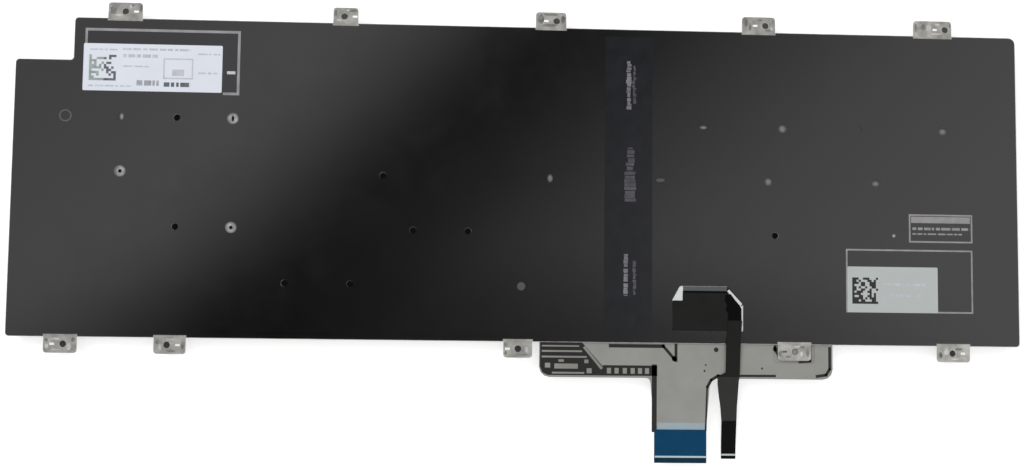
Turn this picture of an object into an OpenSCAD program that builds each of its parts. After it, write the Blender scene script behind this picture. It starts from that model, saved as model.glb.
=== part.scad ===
// Keyboard module of a notebook computer: a hundred low keycaps on scissor links, a stamped
// plate, a printed circuit membrane and a backlight. It lies on its key tops, so z = 0 is the
// plane of the key tops and +Z points out of the back. +Y is the function-row side.

/* [Key layout] */
// Centre distance of neighbouring keys along a row
key_pitch = 18.65; // [18.2:0.05:19.2]
// Centre distance of neighbouring rows
row_pitch = 18.5; // [18:0.1:19.5]
// Depth of the function row
function_row_d = 15; // [14.6:0.1:17]
// Gap between neighbouring keycaps
key_gap = 2; // [1.6:0.1:2.3]
// Width of the letter block, in key pitches
block_units = 14.4; // [14.2:0.1:14.8]
// Width of the tab key, in key pitches
tab_units = 1.4; // [1.2:0.05:1.4]
// Width of the caps lock key, in key pitches
caps_lock_units = 1.65; // [1.5:0.05:1.8]
// Width of the left shift key, in key pitches
left_shift_units = 2.2; // [1.8:0.05:2.4]
// Width of the left control key, in key pitches
control_units = 1.2; // [1:0.05:1.4]
// Number of keys in the function row
function_keys = 17; // [14:1:17]

/* [Keycap] */
// Height of a keycap from its top to the edge of its skirt
cap_h = 2.3; // [2.2:0.1:2.8]
// Thickness of a keycap's top
cap_top_t = 0.9; // [0.7:0.05:1]
// Thickness of a keycap's skirt
skirt_t = 0.8; // [0.6:0.05:0.9]
// How much narrower a keycap is at its top than at its skirt, on each side
cap_draft = 0.3; // [0.1:0.05:0.4]
// Bevel along the upper edge of a keycap
cap_bevel = 0.25; // [0.15:0.05:0.4]
// Corner radius of a keycap
cap_corner_r = 1.6; // [0.8:0.1:2.4]

/* [Scissor links] */
// How far a key travels
travel = 1.6; // [1.2:0.1:2]
// Width of the outer link across its arms
outer_link_w = 12.4; // [11.6:0.1:12.8]
// Distance of the outer link's ends from the middle of the key
outer_link_reach = 5.2; // [4.8:0.1:5.4]
// How much nearer to the middle the inner link's ends lie
link_step = 1.6; // [1.5:0.05:1.8]
// Width of a link's arms and bars
link_bar = 1; // [0.8:0.05:1.1]
// Thickness of a link
link_t = 0.8; // [0.6:0.05:0.85]
// Width of a hook that holds a link
hook_w = 1.2; // [1:0.1:1.4]
// Radius of a rubber dome at its foot
dome_r = 2.7; // [2.3:0.1:2.8]
// Radius of a stabilizer wire
wire_r = 0.35; // [0.25:0.05:0.4]

/* [Plate and sheets] */
// Plate left bare beside the outer keys
side_margin = 0.42; // [0.2:0.02:2]
// Plate left bare above and below the keys
end_margin = 0.25; // [0.2:0.05:2]
// Thickness of the stamped plate
plate_t = 0.4; // [0.3:0.05:0.6]
// Width of the notch for the power button
notch_w = 19.2; // [16:0.1:22]
// Depth of the notch for the power button
notch_d = 14.6; // [12:0.1:14.9]
// Thickness of the circuit membrane
membrane_t = 0.25; // [0.2:0.05:0.4]
// Thickness of the light guide
guide_t = 0.3; // [0.25:0.05:0.5]
// Thickness of the white reflector
reflector_t = 0.1; // [0.08:0.02:0.2]
// Thickness of the black back film
film_t = 0.15; // [0.1:0.05:0.25]
// Width of the film's glued rim
rim_w = 2.2; // [1.8:0.1:3]

/* [Screw tabs] */
// Distance of the screw holes from the plate's long edges
screw_out = 2.4; // [2.2:0.1:3]
// Radius of the screw holes
screw_r = 1.15; // [0.9:0.05:1.3]
// How far the tabs stand out of the plate
tab_out = 5.4; // [5:0.1:6.5]

/* [Ribbon tails] */
// Width of the membrane's tail where it leaves the board
tail_root_w = 20.6; // [19:0.1:22]
// Width of the membrane's tail at its contacts
tail_end_w = 17.8; // [16:0.1:18.6]
// Length of the membrane's tail beyond the board
tail_len = 28.5; // [24:0.5:40]
// Length of the blue stiffener on the tail
stiffener_len = 11.2; // [8:0.1:14]
// Thickness of the blue stiffener
stiffener_t = 0.2; // [0.1:0.05:0.3]
// Width of the backlight cable
cable_w = 5; // [4:0.1:6]
// Thickness of the backlight cable
cable_t = 0.12; // [0.08:0.02:0.2]

/* [Hidden] */
LETTERS = ["q", "w", "e", "r", "t", "y", "u", "i", "o", "p", "a", "s", "d", "f", "g", "h", "j",
           "k", "l", "z", "x", "c", "v", "b", "n", "m"];
DIGITS = ["1", "2", "3", "4", "5", "6", "7", "8", "9", "0"];
MOVING_KEYS = concat(LETTERS, DIGITS, ["space", "enter", "backspace", "left_shift", "right_shift"]);

// rows of the letter block, from the number row to the space bar, each from its left key
ROWS = [["grave", "1", "2", "3", "4", "5", "6", "7", "8", "9", "0", "minus", "equals", "backspace"],
        ["tab", "q", "w", "e", "r", "t", "y", "u", "i", "o", "p", "left_bracket", "right_bracket",
         "backslash"],
        ["caps_lock", "a", "s", "d", "f", "g", "h", "j", "k", "l", "semicolon", "quote", "enter"],
        ["left_shift", "z", "x", "c", "v", "b", "n", "m", "comma", "period", "slash",
         "right_shift"],
        ["left_ctrl", "fn", "super", "left_alt", "space", "right_alt", "right_ctrl"]];
row_count = len(ROWS);
pad_columns = 4;
arrow_columns = 3;
shallow_cap_d = 10;
wire_from_units = 1.7;
joint_gap = 0.15;
small_gap = 0.1;
cap_corner_steps = 2;
corner_steps = 3;
round_steps = 6;
eps = 0.05;

// plan sizes
plate_w = (block_units + pad_columns) * key_pitch + 2 * side_margin;
plate_d = row_count * row_pitch + function_row_d + 2 * end_margin;
key_left = plate_w / 2 - side_margin;
function_pitch = (plate_w - notch_w - side_margin) / function_keys;
plate_corner_r = 1.2;
plate_big_corner_r = 2.2;
edge_play = 0.2;

// heights, counted from the key tops
membrane_z = cap_h + travel + joint_gap;
plate_z = membrane_z + membrane_t;
guide_z = plate_z + plate_t;
reflector_z = guide_z + guide_t;
film_z = reflector_z + reflector_t;
back_z = film_z + film_t;
cap_pivot_z = cap_top_t + link_t / 2 + joint_gap;
plate_pivot_z = membrane_z - link_t / 2 - joint_gap;
pivot_rise = plate_pivot_z - cap_pivot_z;
pivot_mid_z = (plate_pivot_z + cap_pivot_z) / 2;

// hooks: how far their walls stand off a bar's middle, and how far their lips reach back
hook_in = link_bar / 2 + joint_gap;
hook_wall = 0.4;
hook_lip = 0.25;
hook_lip_z = link_t / 2 + joint_gap + small_gap;
hook_spread = 0.5;
wall_play = 0.3;

// links of the low keys, which lie across the key
shallow_link_w = 5.1;
shallow_bar = 0.55;
shallow_hook_w = 0.8;
shallow_dome_r = 1.25;
dome_top_share = 0.5;
pin_r = 0.2;
pin_play = 0.07;

// wires: from the cap's ends, from its far side, down to the plate and along it
wire_end_in = 3.2;
wire_play = 0.25;
wire_hook_in = 3;
wire_leg = 7.6;
wire_foot = 2.4;

// tabs along the two long edges: the middle of each, its width and its hole's place beside it
TOP_TABS = [[-136, 11.5, 0], [-61.5, 8.5, -0.5], [9, 10.5, 1.9], [81.3, 11.6, 2.4],
            [142.7, 13.5, 4.5]];
BOTTOM_TABS = [[-153.9, 11, 0.9], [-117.8, 10.6, -1], [-1.3, 9.8, 0.1], [93.4, 11.4, 0.2],
               [148.7, 11.5, -0.2]];
tab_corner_r = 1;
tab_root = 3;
tab_slot_away = 3.6;
TAB_SLOT = [1.6, 0.7];
film_cut = 0.9;

// rivets and holes that show in the back film, by the row gap that they stand in
RIVETS = [[-154.7, -136, -98.8, 61.9, 89.4, 115.7, 145.7], [-136, 9.1, 47, 84.4, 121.9],
          [-98.5], [-0.4]];
PIERCINGS = [[-117.6], [-47.8], [-117.2, -37.3, -18.7, 86.8], [-80.3, -58.2]];
rivet_r = 1.15;
rivet_bore_r = 0.45;
rivet_clear_r = 1.6;
piercing_r = 0.8;
piercing_clear_r = 1.15;

// board and tail of the membrane
board_x = [6, 106.7];
board_out = 11.8;
board_corner_r = 3.5;
tail_x = 54.2;
tail_taper_len = 17;
tail_fillet_r = 1.6;
cutout_play = 1.4;
cutout_d = 6.3;

// backlight: the window in the film, the flexible strip in it and its row of diodes, all with
// their y counted from the space-bar edge of the plate
window_pts = [[51.2, 14.8, 0.6], [53.8, 19.6, 0.8], [70.4, 19.6, 1], [75.6, 13.6, 1],
              [75.6, 4.2, 0.6], [51.2, 4.2, 0.6]];
strip_pts = [[51.25, 14.6, 0.3], [54.8, 14.6, 0.3], [54.8, 18, 0.3], [70, 18, 0.5],
             [74.6, 12.8, 0.5], [74.6, 4.25, 0.3], [51.25, 4.25, 0.3]];
diode_x = [56.5, 68.5];
diode_count = 5;
diode_w = 1.8;
diode_d = 0.8;
diode_y = 16.5;

// backlight cable: its route from the strip outwards over the same edge, in plan and height
CABLE_ROUTE = [[8, 0], [0, 0], [-4, -0.08], [-8, -0.3], [-12, -0.7], [-16, -1.25], [-21, -2.1],
               [-26, -3.05], [-31, -4], [-35, -4.75], [-38.4, -5.18]];
cable_x = 72.75;
cable_slant = 2.9;
contact_len = 10.5;
contact_t = 0.1;

// labels and tape on the film: middle and size
LARGE_LABEL = [45.9 - plate_w / 2, plate_d / 2 - 17, 46.5, 16.1];
SMALL_LABEL = [plate_w / 2 - 44.5, 19.2 - plate_d / 2, 31.5, 15.7];
tape_end_in = 2.8;
TAPE = [36, 0, 16.4, plate_d - 2 * tape_end_in];
label_t = 0.08;
tape_t = 0.06;

plastic = [0.11, 0.11, 0.12];
metal = [0.62, 0.61, 0.58];
link_white = [0.85, 0.85, 0.83];

// true where a list holds a name
function listed(name, names) = len([for (n = names) if (n == name) 1]) > 0;

// width of a key of the letter block, in key pitches
function key_units(name) =
    name == "backspace" ? block_units - 13 :
    name == "tab" ? tab_units :
    name == "backslash" ? block_units - tab_units - 12 :
    name == "caps_lock" ? caps_lock_units :
    name == "enter" ? block_units - caps_lock_units - 11 :
    name == "left_shift" ? left_shift_units :
    name == "right_shift" ? block_units - left_shift_units - 10 :
    name == "left_ctrl" ? control_units :
    name == "space" ? block_units - control_units - 5 - arrow_columns :
    1;

// pitches before key i of a row
function units_before(names, i) = i == 0 ? 0 : units_before(names, i - 1) + key_units(names[i - 1]);

// upper edge of a row, with the function row as row 0
function row_top(r) = plate_d / 2 - end_margin - (r == 0 ? 0 : function_row_d + (r - 1) * row_pitch);

// a key cell is its name, the middle of its place and the size of its place
function cell(name, u, top, units, depth) =
    [name, key_left - (u + units / 2) * key_pitch, top - depth / 2, units * key_pitch, depth];

block_cells = [for (r = [0:row_count - 1]) for (i = [0:len(ROWS[r]) - 1])
    cell(ROWS[r][i], units_before(ROWS[r], i), row_top(r + 1), key_units(ROWS[r][i]), row_pitch)];

function_cells = [for (i = [0:function_keys - 1])
    ["function", key_left - (i + 0.5) * function_pitch, row_top(0) - function_row_d / 2,
     function_pitch, function_row_d]];

arrow_cells = [for (half = [0, 1]) for (i = [0:arrow_columns - 1])
    cell("arrow", block_units - arrow_columns + i, row_top(row_count) - half * row_pitch / 2, 1,
         row_pitch / 2)];

pad_cells = concat(
    [for (c = [0:pad_columns - 1]) cell("pad", block_units + c, row_top(1), 1, row_pitch)],
    [for (r = [2:4]) for (c = [0:pad_columns - 2]) cell("pad", block_units + c, row_top(r), 1, row_pitch)],
    [for (r = [2, 4]) cell("pad_tall", block_units + pad_columns - 1, row_top(r), 1, 2 * row_pitch)],
    [cell("pad_zero", block_units, row_top(row_count), 2, row_pitch),
     cell("pad", block_units + 2, row_top(row_count), 1, row_pitch)]);

other_cells = concat([for (c = block_cells) if (!listed(c[0], MOVING_KEYS)) c], arrow_cells);
all_cells = concat(block_cells, function_cells, arrow_cells, pad_cells);

function cap_w(c) = c[3] - key_gap;
function cap_d(c) = c[4] - key_gap;
function is_shallow(c) = cap_d(c) < shallow_cap_d;
function is_tall(c) = c[4] > 1.5 * row_pitch;

// the mechanism of a key: its turn, its reach along the links, its widths and its hook places
function along(c) = is_shallow(c) ? cap_w(c) : cap_d(c);
function reach(c) = min(outer_link_reach, along(c) / 2 - skirt_t - hook_in - hook_wall - wall_play);
function inner_reach(c) = reach(c) - link_step;
function bar_of(c) = is_shallow(c) ? shallow_bar : link_bar;
function outer_w(c) = is_shallow(c) ? shallow_link_w : outer_link_w;
function inner_w(c) = outer_w(c) - 2 * bar_of(c) - 2 * joint_gap;
function hook_width(c) = is_shallow(c) ? shallow_hook_w : hook_w;
function outer_hook_x(c) = outer_w(c) / 2 - bar_of(c) - hook_width(c) / 2 - joint_gap;
function inner_hook_x(c) =
    outer_hook_x(c) - hook_width(c) - 2 * joint_gap - (is_shallow(c) ? 0 : hook_spread);
function dome_foot_r(c) =
    is_shallow(c) ? shallow_dome_r : min(dome_r, inner_reach(c) - bar_of(c) / 2 - 2 * small_gap);

// wide keys carry a wire, and the space bar stands on two scissors
function wide_axis(c) = is_tall(c) ? cap_d(c) : cap_w(c);
function has_wire(c) = wide_axis(c) > wire_from_units * key_pitch - key_gap;
function wire_half(c) = wide_axis(c) / 2 - wire_end_in;
function scissor_places(c) = c[0] == "space" ? [-cap_w(c) / 4, cap_w(c) / 4] : [0];
wire_out = (row_pitch - key_gap) / 2 - skirt_t - wire_r - wire_play;

// points of an outline whose corners are [x, y, radius]
function unit(v) = v / norm(v);
function rounded(pts, steps = round_steps) = [for (i = [0:len(pts) - 1]) let(
    p = [pts[i][0], pts[i][1]],
    before = pts[(i + len(pts) - 1) % len(pts)],
    after = pts[(i + 1) % len(pts)],
    a = unit([before[0], before[1]] - p),
    b = unit([after[0], after[1]] - p),
    half = acos(a * b) / 2,
    r = pts[i][2],
    middle = p + unit(a + b) * r / sin(half),
    from = p + a * r / tan(half) - middle,
    to = p + b * r / tan(half) - middle,
    start = atan2(from[1], from[0]),
    sweep = (atan2(to[1], to[0]) - start + 540) % 360 - 180)
    for (k = [0:steps]) middle + r * [cos(start + sweep * k / steps), sin(start + sweep * k / steps)]];

function rectangle(x0, y0, x1, y1, r) = [[x0, y0, r], [x1, y0, r], [x1, y1, r], [x0, y1, r]];

module sheet(z, t) {
    translate([0, 0, z]) linear_extrude(t) children();
}

// an outline drawn in Y and Z, carried along X over a width
module rib(width) {
    rotate([90, 0, 90]) linear_extrude(width, center = true) children();
}

// the plate's outline with its power-button notch, drawn in by a margin
module plate_outline(inset) {
    x = plate_w / 2 - inset;
    y = plate_d / 2 - inset;
    notch_x = -plate_w / 2 + notch_w + inset;
    notch_y = plate_d / 2 - notch_d - inset;
    polygon(rounded([[-x, -y, plate_corner_r], [x, -y, plate_corner_r], [x, y, plate_big_corner_r],
                     [notch_x, y, plate_corner_r], [notch_x, notch_y, plate_corner_r],
                     [-x, notch_y, plate_corner_r]]));
}

// children placed at each tab, with side as 1 on the function-row edge and -1 on the other
module at_tabs(side) {
    for (tab = side > 0 ? TOP_TABS : BOTTOM_TABS)
        translate([tab[0], side * plate_d / 2]) scale([1, side]) children();
}

module tab_outlines(side) {
    for (tab = side > 0 ? TOP_TABS : BOTTOM_TABS)
        translate([tab[0], side * plate_d / 2])
            polygon(rounded(rectangle(-tab[1] / 2, min(-side * tab_root, side * tab_out), tab[1] / 2,
                                      max(-side * tab_root, side * tab_out), tab_corner_r), corner_steps));
}

// screw hole of each tab, and the short slot beside it
module tab_holes(side) {
    for (tab = side > 0 ? TOP_TABS : BOTTOM_TABS) {
        away = tab[2] > 0 ? -1 : 1;
        translate([tab[0] + tab[2], side * (plate_d / 2 + screw_out)]) circle(screw_r, $fn = 32);
        translate([tab[0] + tab[2] + away * tab_slot_away, side * (plate_d / 2 + screw_out)])
            square(TAB_SLOT, center = true);
    }
}

// film that is cut back at each tab
module tab_clearances() {
    for (side = [-1, 1]) for (tab = side > 0 ? TOP_TABS : BOTTOM_TABS)
        translate([tab[0], side * (plate_d / 2 - film_cut / 2 + eps)])
            square([tab[1] + 2 * edge_play, film_cut + 2 * eps], center = true);
}

// the places of the rivets or piercings, on the gaps between the rows
module at_row_gaps(places) {
    for (r = [0:len(places) - 1]) for (x = places[r]) translate([x, row_top(r + 2)]) children();
}

module film_holes() {
    at_row_gaps(RIVETS) circle(rivet_clear_r, $fn = 32);
    at_row_gaps(PIERCINGS) circle(piercing_clear_r, $fn = 24);
}

module at_scissors(cells) {
    for (c = cells) for (dx = scissor_places(c))
        translate([c[1] + dx, c[2], 0]) rotate(is_shallow(c) ? 90 : 0) {
            $cell = c;
            children();
        }
}

// side view of a hook wall with its lip: out is the wall's side of the bar, root the height it
// grows from, tip the height of its lip
module hook_profile(root, tip, out) {
    lip_from = tip + sign(root - tip) * hook_lip;
    polygon([[out * hook_in, root], [out * (hook_in + hook_wall), root],
             [out * (hook_in + hook_wall), tip], [out * (hook_in - hook_lip), tip],
             [out * (hook_in - hook_lip), lip_from], [out * hook_in, lip_from]]);
}

module pair(x) {
    for (s = [-1, 1]) translate([s * x, 0, 0]) children();
}

// a keycap's hooks: clips closed by a second wall for the outer link's pivot, and open ones for
// the inner link
module cap_hooks(c) {
    tip = cap_pivot_z + hook_lip_z + hook_lip;
    pair(outer_hook_x(c)) translate([0, reach(c), 0]) rib(hook_width(c)) {
        hook_profile(cap_top_t - eps, tip, 1);
        translate([-hook_in - hook_wall, cap_top_t - eps]) square([hook_wall, tip - cap_top_t]);
    }
    pair(inner_hook_x(c)) translate([0, -inner_reach(c), 0])
        rib(hook_width(c)) hook_profile(cap_top_t - eps, tip, -1);
}

// a block whose sides lean in towards z = 0 and whose edge there is bevelled
module cap_side(width, length) {
    w = width / 2;
    top = w - cap_draft;
    rotate([90, 0, 0]) linear_extrude(length + 2, center = true)
        polygon([[-top + cap_bevel, 0], [top - cap_bevel, 0], [top, cap_bevel], [w, cap_h], [-w, cap_h],
                 [-top, cap_bevel]]);
}

module cap_shell(w, d) {
    difference() {
        intersection() {
            linear_extrude(cap_h)
                polygon(rounded(rectangle(-w / 2, -d / 2, w / 2, d / 2, cap_corner_r), cap_corner_steps));
            cap_side(w, d);
            rotate(90) cap_side(d, w);
        }
        translate([0, 0, cap_top_t + cap_h / 2])
            cube([w - 2 * skirt_t, d - 2 * skirt_t, cap_h], center = true);
    }
}

// hooks that hold a wide key's wire along its far side
module wire_hooks(c) {
    tip = cap_pivot_z + hook_lip_z + hook_lip;
    pair(wire_half(c) - wire_hook_in) translate([0, wire_out, 0])
        rib(hook_w) hook_profile(cap_top_t - eps, tip, -1);
}

module keycap(c) {
    translate([c[1], c[2], 0]) {
        cap_shell(cap_w(c), cap_d(c));
        for (dx = scissor_places(c)) translate([dx, 0, 0]) rotate(is_shallow(c) ? 90 : 0) cap_hooks(c);
        if (has_wire(c)) rotate(is_tall(c) ? -90 : 0) wire_hooks(c);
    }
}

module keycaps(cells) {
    color(plastic) for (c = cells) keycap(c);
}

module moving_key(name) {
    keycaps([for (c = block_cells) if (str("key_", c[0]) == name) c]);
}

// a flat frame with its two cross bars, lying at the slope that joins the cap to the plate
module link_frame(w, half_reach, bar, slope_side) {
    length = sqrt(pow(2 * half_reach, 2) + pow(pivot_rise, 2)) + bar;
    translate([0, 0, pivot_mid_z]) rotate([slope_side * atan(pivot_rise / (2 * half_reach)), 0, 0]) {
        difference() {
            linear_extrude(link_t, center = true) difference() {
                square([w, length], center = true);
                square([w - 2 * bar, length - 2 * bar], center = true);
            }
            if (slope_side < 0)
                rotate([0, 90, 0]) cylinder(r = pin_r + pin_play, h = w + 1, center = true, $fn = 6);
        }
        if (slope_side > 0) pair(w / 2 + joint_gap / 2 + bar * 0.3)
            rotate([0, 90, 0]) cylinder(r = pin_r, h = joint_gap + bar * 0.9, center = true, $fn = 6);
    }
}

module outer_links() {
    color(link_white) at_scissors(all_cells)
        link_frame(outer_w($cell), reach($cell), bar_of($cell), -1);
}

module inner_links() {
    color(link_white) at_scissors(all_cells)
        link_frame(inner_w($cell), inner_reach($cell), bar_of($cell), 1);
}

// a wire along the far side of a wide key, with two legs down to the plate
module wire(half) {
    slope = atan(pivot_rise / wire_leg);
    length = sqrt(pow(pivot_rise, 2) + pow(wire_leg, 2));
    translate([0, wire_out, cap_pivot_z]) rotate([-slope, 0, 0]) {
        rotate([0, 90, 0]) cylinder(r = wire_r, h = 2 * half, center = true, $fn = 8);
        pair(half - wire_r) rotate([90, 0, 0]) cylinder(r = wire_r, h = length, $fn = 8);
        pair(half - wire_foot / 2) translate([0, -length, 0])
            rotate([0, 90, 0]) cylinder(r = wire_r, h = wire_foot, center = true, $fn = 8);
    }
}

module at_wires() {
    for (c = all_cells) if (has_wire(c))
        translate([c[1], c[2], 0]) rotate(is_tall(c) ? -90 : 0) {
            $cell = c;
            children();
        }
}

module stabilizer_wires() {
    color("silver") at_wires() wire(wire_half($cell));
}

// a hollow rubber dome that stands on the membrane and reaches up to the cap
module dome(foot_r) {
    top_r = foot_r * dome_top_share;
    wall = 0.35;
    plunger = 1;
    tip = cap_top_t + small_gap;
    color("lightgray") rotate_extrude($fn = 32)
        polygon([[0, tip + wall], [top_r, tip + wall], [top_r, tip], [top_r + wall, tip],
                 [top_r + wall, tip + plunger], [foot_r - wall, membrane_z - wall],
                 [foot_r, membrane_z - wall], [foot_r, membrane_z], [foot_r - 2 * wall, membrane_z],
                 [top_r, tip + plunger + wall], [0, tip + plunger + wall]]);
}

module rubber_domes() {
    for (c = all_cells) translate([c[1], c[2], 0]) dome(dome_foot_r(c));
}

// each row of hooks on the plate: children see the hooks' places along the bar and their width
module at_hook_rows() {
    at_scissors(all_cells) {
        $hook_width = hook_width($cell);
        let($hook_x = [-outer_hook_x($cell), outer_hook_x($cell)])
            translate([0, -reach($cell), 0]) scale([1, -1, 1]) children();
        let($hook_x = [-inner_hook_x($cell), inner_hook_x($cell)])
            translate([0, inner_reach($cell), 0]) children();
    }
    at_wires() {
        $hook_width = hook_w;
        $hook_x = [0];
        pair(wire_half($cell) - wire_foot + hook_w / 2 + small_gap)
            translate([0, wire_out - wire_leg, 0]) children();
    }
}

module plate_hooks() {
    tip = plate_pivot_z - hook_lip_z - hook_lip;
    at_hook_rows() for (x = $hook_x) translate([x, 0, 0])
        rib($hook_width) hook_profile(plate_z + eps, tip, 1);
}

// window that each row of hooks was cut from and bent out of
module hook_windows() {
    window_d = hook_wall + 1.9;
    at_hook_rows() translate([0, hook_in - window_d / 2])
        square([2 * max($hook_x) + $hook_width + 2 * small_gap, window_d], center = true);
}

// opening in the membrane that lets a row of hooks through
module hook_openings() {
    play = 0.2;
    at_hook_rows() translate([0, hook_in + hook_wall / 2])
        square([2 * max($hook_x) + $hook_width + 2 * play, hook_wall + 2 * play], center = true);
}

module base_plate() {
    color(metal) {
        sheet(plate_z, plate_t) difference() {
            union() {
                plate_outline(0);
                tab_outlines(1);
                tab_outlines(-1);
            }
            tab_holes(1);
            tab_holes(-1);
            hook_windows();
            at_row_gaps(PIERCINGS) circle(piercing_r, $fn = 24);
            at_row_gaps(RIVETS) circle(rivet_bore_r, $fn = 24);
        }
        plate_hooks();
        sheet(guide_z, guide_t + reflector_t) at_row_gaps(RIVETS) difference() {
            circle(rivet_r, $fn = 32);
            circle(rivet_bore_r, $fn = 24);
        }
    }
}

// the circuit sheets with the board below the space bar and the tail that plugs in
module membrane() {
    x = plate_w / 2 - edge_play;
    y = plate_d / 2 - edge_play;
    notch_x = -plate_w / 2 + notch_w + edge_play;
    notch_y = plate_d / 2 - notch_d - edge_play;
    board_y = -plate_d / 2 - board_out;
    tail_y = board_y - tail_len;
    cut_tab = BOTTOM_TABS[3];
    color([0.55, 0.55, 0.52]) sheet(membrane_z, membrane_t) difference() {
        polygon(rounded([
            [-x, -y, plate_corner_r], [board_x[0], -y, small_gap],
            [board_x[0], board_y, board_corner_r],
            [tail_x - tail_root_w / 2, board_y, tail_fillet_r],
            [tail_x - tail_end_w / 2, board_y - tail_taper_len, small_gap],
            [tail_x - tail_end_w / 2, tail_y, small_gap], [tail_x + tail_end_w / 2, tail_y, small_gap],
            [tail_x + tail_end_w / 2, board_y - tail_taper_len, small_gap],
            [tail_x + tail_root_w / 2, board_y, tail_fillet_r],
            [board_x[1], board_y, board_corner_r], [board_x[1], -y, small_gap],
            [x, -y, plate_corner_r], [x, y, plate_big_corner_r], [notch_x, y, plate_corner_r],
            [notch_x, notch_y, plate_corner_r], [-x, notch_y, plate_corner_r]], corner_steps));
        polygon(rounded(rectangle(cut_tab[0] - cut_tab[1] / 2 - cutout_play, -plate_d / 2 - cutout_d,
                                  cut_tab[0] + cut_tab[1] / 2 + cutout_play, -plate_d / 2 + 0.5, 1),
                        corner_steps));
        hook_openings();
    }
}

module tail_stiffener() {
    tail_y = -plate_d / 2 - board_out - tail_len;
    color([0.06, 0.3, 0.5]) sheet(plate_z, stiffener_t)
        translate([tail_x - tail_end_w / 2, tail_y]) square([tail_end_w, stiffener_len]);
}

module at_space_side() {
    translate([0, -plate_d / 2]) children();
}

module diode_slot(play) {
    step = (diode_x[1] - diode_x[0]) / (diode_count - 1);
    at_space_side() for (i = [0:diode_count - 1]) translate([diode_x[0] + i * step, diode_y])
        square([diode_w + 2 * play, diode_d + 2 * play], center = true);
}

module light_guide() {
    color([0.9, 0.95, 0.98]) sheet(guide_z, guide_t) difference() {
        plate_outline(rim_w + film_t + 2 * edge_play);
        film_holes();
        diode_slot(small_gap);
    }
}

module reflector_sheet() {
    color("white") sheet(reflector_z, reflector_t) difference() {
        plate_outline(rim_w + film_t + 2 * edge_play);
        film_holes();
        diode_slot(small_gap);
    }
}

// the black film: a raised panel over the light guide and a rim that is glued to the plate
module back_film() {
    color([0.17, 0.17, 0.17]) difference() {
        union() {
            sheet(guide_z, film_t) plate_outline(edge_play);
            sheet(guide_z, back_z - guide_z) plate_outline(rim_w);
        }
        sheet(guide_z - 1, 1 + film_z - guide_z) plate_outline(rim_w + film_t + edge_play);
        sheet(guide_z - 1, 3) {
            tab_clearances();
            film_holes();
            at_space_side() polygon(rounded(window_pts, corner_steps));
        }
    }
}

// the black flexible strip in the film's window, with its row of diodes in the light guide
module led_strip() {
    color([0.08, 0.08, 0.08]) {
        sheet(film_z, film_t) at_space_side() polygon(rounded(strip_pts, corner_steps));
        sheet(guide_z + small_gap, film_z - guide_z - small_gap + eps) diode_slot(0);
    }
}

// turns the ribbon's own frame, whose length runs along -Y, onto its slanted line on the back
module cable_place() {
    translate([cable_x, CABLE_ROUTE[0][0] - plate_d / 2, 0]) rotate(-cable_slant) children();
}

// side view of a ribbon that follows part of the route, between two heights above its underside
module ribbon_profile(from, low, high) {
    under = [for (i = [from:len(CABLE_ROUTE) - 1]) CABLE_ROUTE[i] - [CABLE_ROUTE[0][0], -back_z]];
    polygon(concat([for (p = under) p + [0, low]],
                   [for (i = [len(under) - 1:-1:0]) under[i] + [0, high]]));
}

module backlight_cable() {
    color([0.12, 0.12, 0.12]) cable_place() rib(cable_w) ribbon_profile(0, 0, cable_t);
}

module cable_contact_end() {
    color([0.05, 0.05, 0.05]) cable_place()
        rib(cable_w - 2 * small_gap) ribbon_profile(len(CABLE_ROUTE) - 3, cable_t, cable_t + contact_t);
}

module sticker(place, t, r) {
    sheet(back_z, t) translate([place[0], place[1]])
        polygon(rounded(rectangle(-place[2] / 2, -place[3] / 2, place[2] / 2, place[3] / 2, r),
                        corner_steps));
}

module clear_tape() {
    color([0.3, 0.32, 0.35]) sticker(TAPE, tape_t, small_gap);
}

module large_label() {
    color([0.85, 0.86, 0.88]) sticker(LARGE_LABEL, label_t, 0.4);
}

module small_label() {
    color([0.83, 0.84, 0.84]) sticker(SMALL_LABEL, label_t, 0.4);
}

module function_row_caps() {
    keycaps(function_cells);
}

module number_pad_caps() {
    keycaps(pad_cells);
}

module other_caps() {
    keycaps(other_cells);
}

base_plate();
membrane();
tail_stiffener();
rubber_domes();
outer_links();
inner_links();
stabilizer_wires();
light_guide();
reflector_sheet();
back_film();
led_strip();
backlight_cable();
cable_contact_end();
clear_tape();
large_label();
small_label();
function_row_caps();
number_pad_caps();
other_caps();
for (k = MOVING_KEYS) moving_key(str("key_", k));
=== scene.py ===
"""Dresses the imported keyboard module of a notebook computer, which lies on its keys with the black
film, the screw tabs and the ribbon tails up. Lengths in the code are millimetres, turned into
Blender's metres by MM."""

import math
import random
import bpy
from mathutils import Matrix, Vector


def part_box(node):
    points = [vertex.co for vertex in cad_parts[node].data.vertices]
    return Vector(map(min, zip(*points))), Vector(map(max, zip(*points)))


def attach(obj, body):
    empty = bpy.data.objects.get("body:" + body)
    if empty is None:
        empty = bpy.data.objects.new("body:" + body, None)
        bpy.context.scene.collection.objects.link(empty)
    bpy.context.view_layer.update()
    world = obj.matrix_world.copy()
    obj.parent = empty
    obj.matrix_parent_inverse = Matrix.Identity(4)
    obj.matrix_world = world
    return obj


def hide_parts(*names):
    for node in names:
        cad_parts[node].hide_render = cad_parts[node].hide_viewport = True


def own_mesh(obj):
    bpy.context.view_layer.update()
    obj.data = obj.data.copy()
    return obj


bl_info = {
    "name": "Notebook keyboard module",
    "version": (1, 0, 0),
    "blender": (4, 5, 0),
    "location": "View3D > Sidebar > Keyboard",
    "description": "Builds the finish, print, legends and mechanisms of a notebook keyboard module",
    "category": "Object",
}

import bmesh
import bpy
from bpy.props import FloatProperty, FloatVectorProperty, IntProperty, PointerProperty
from mathutils import Vector

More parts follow.
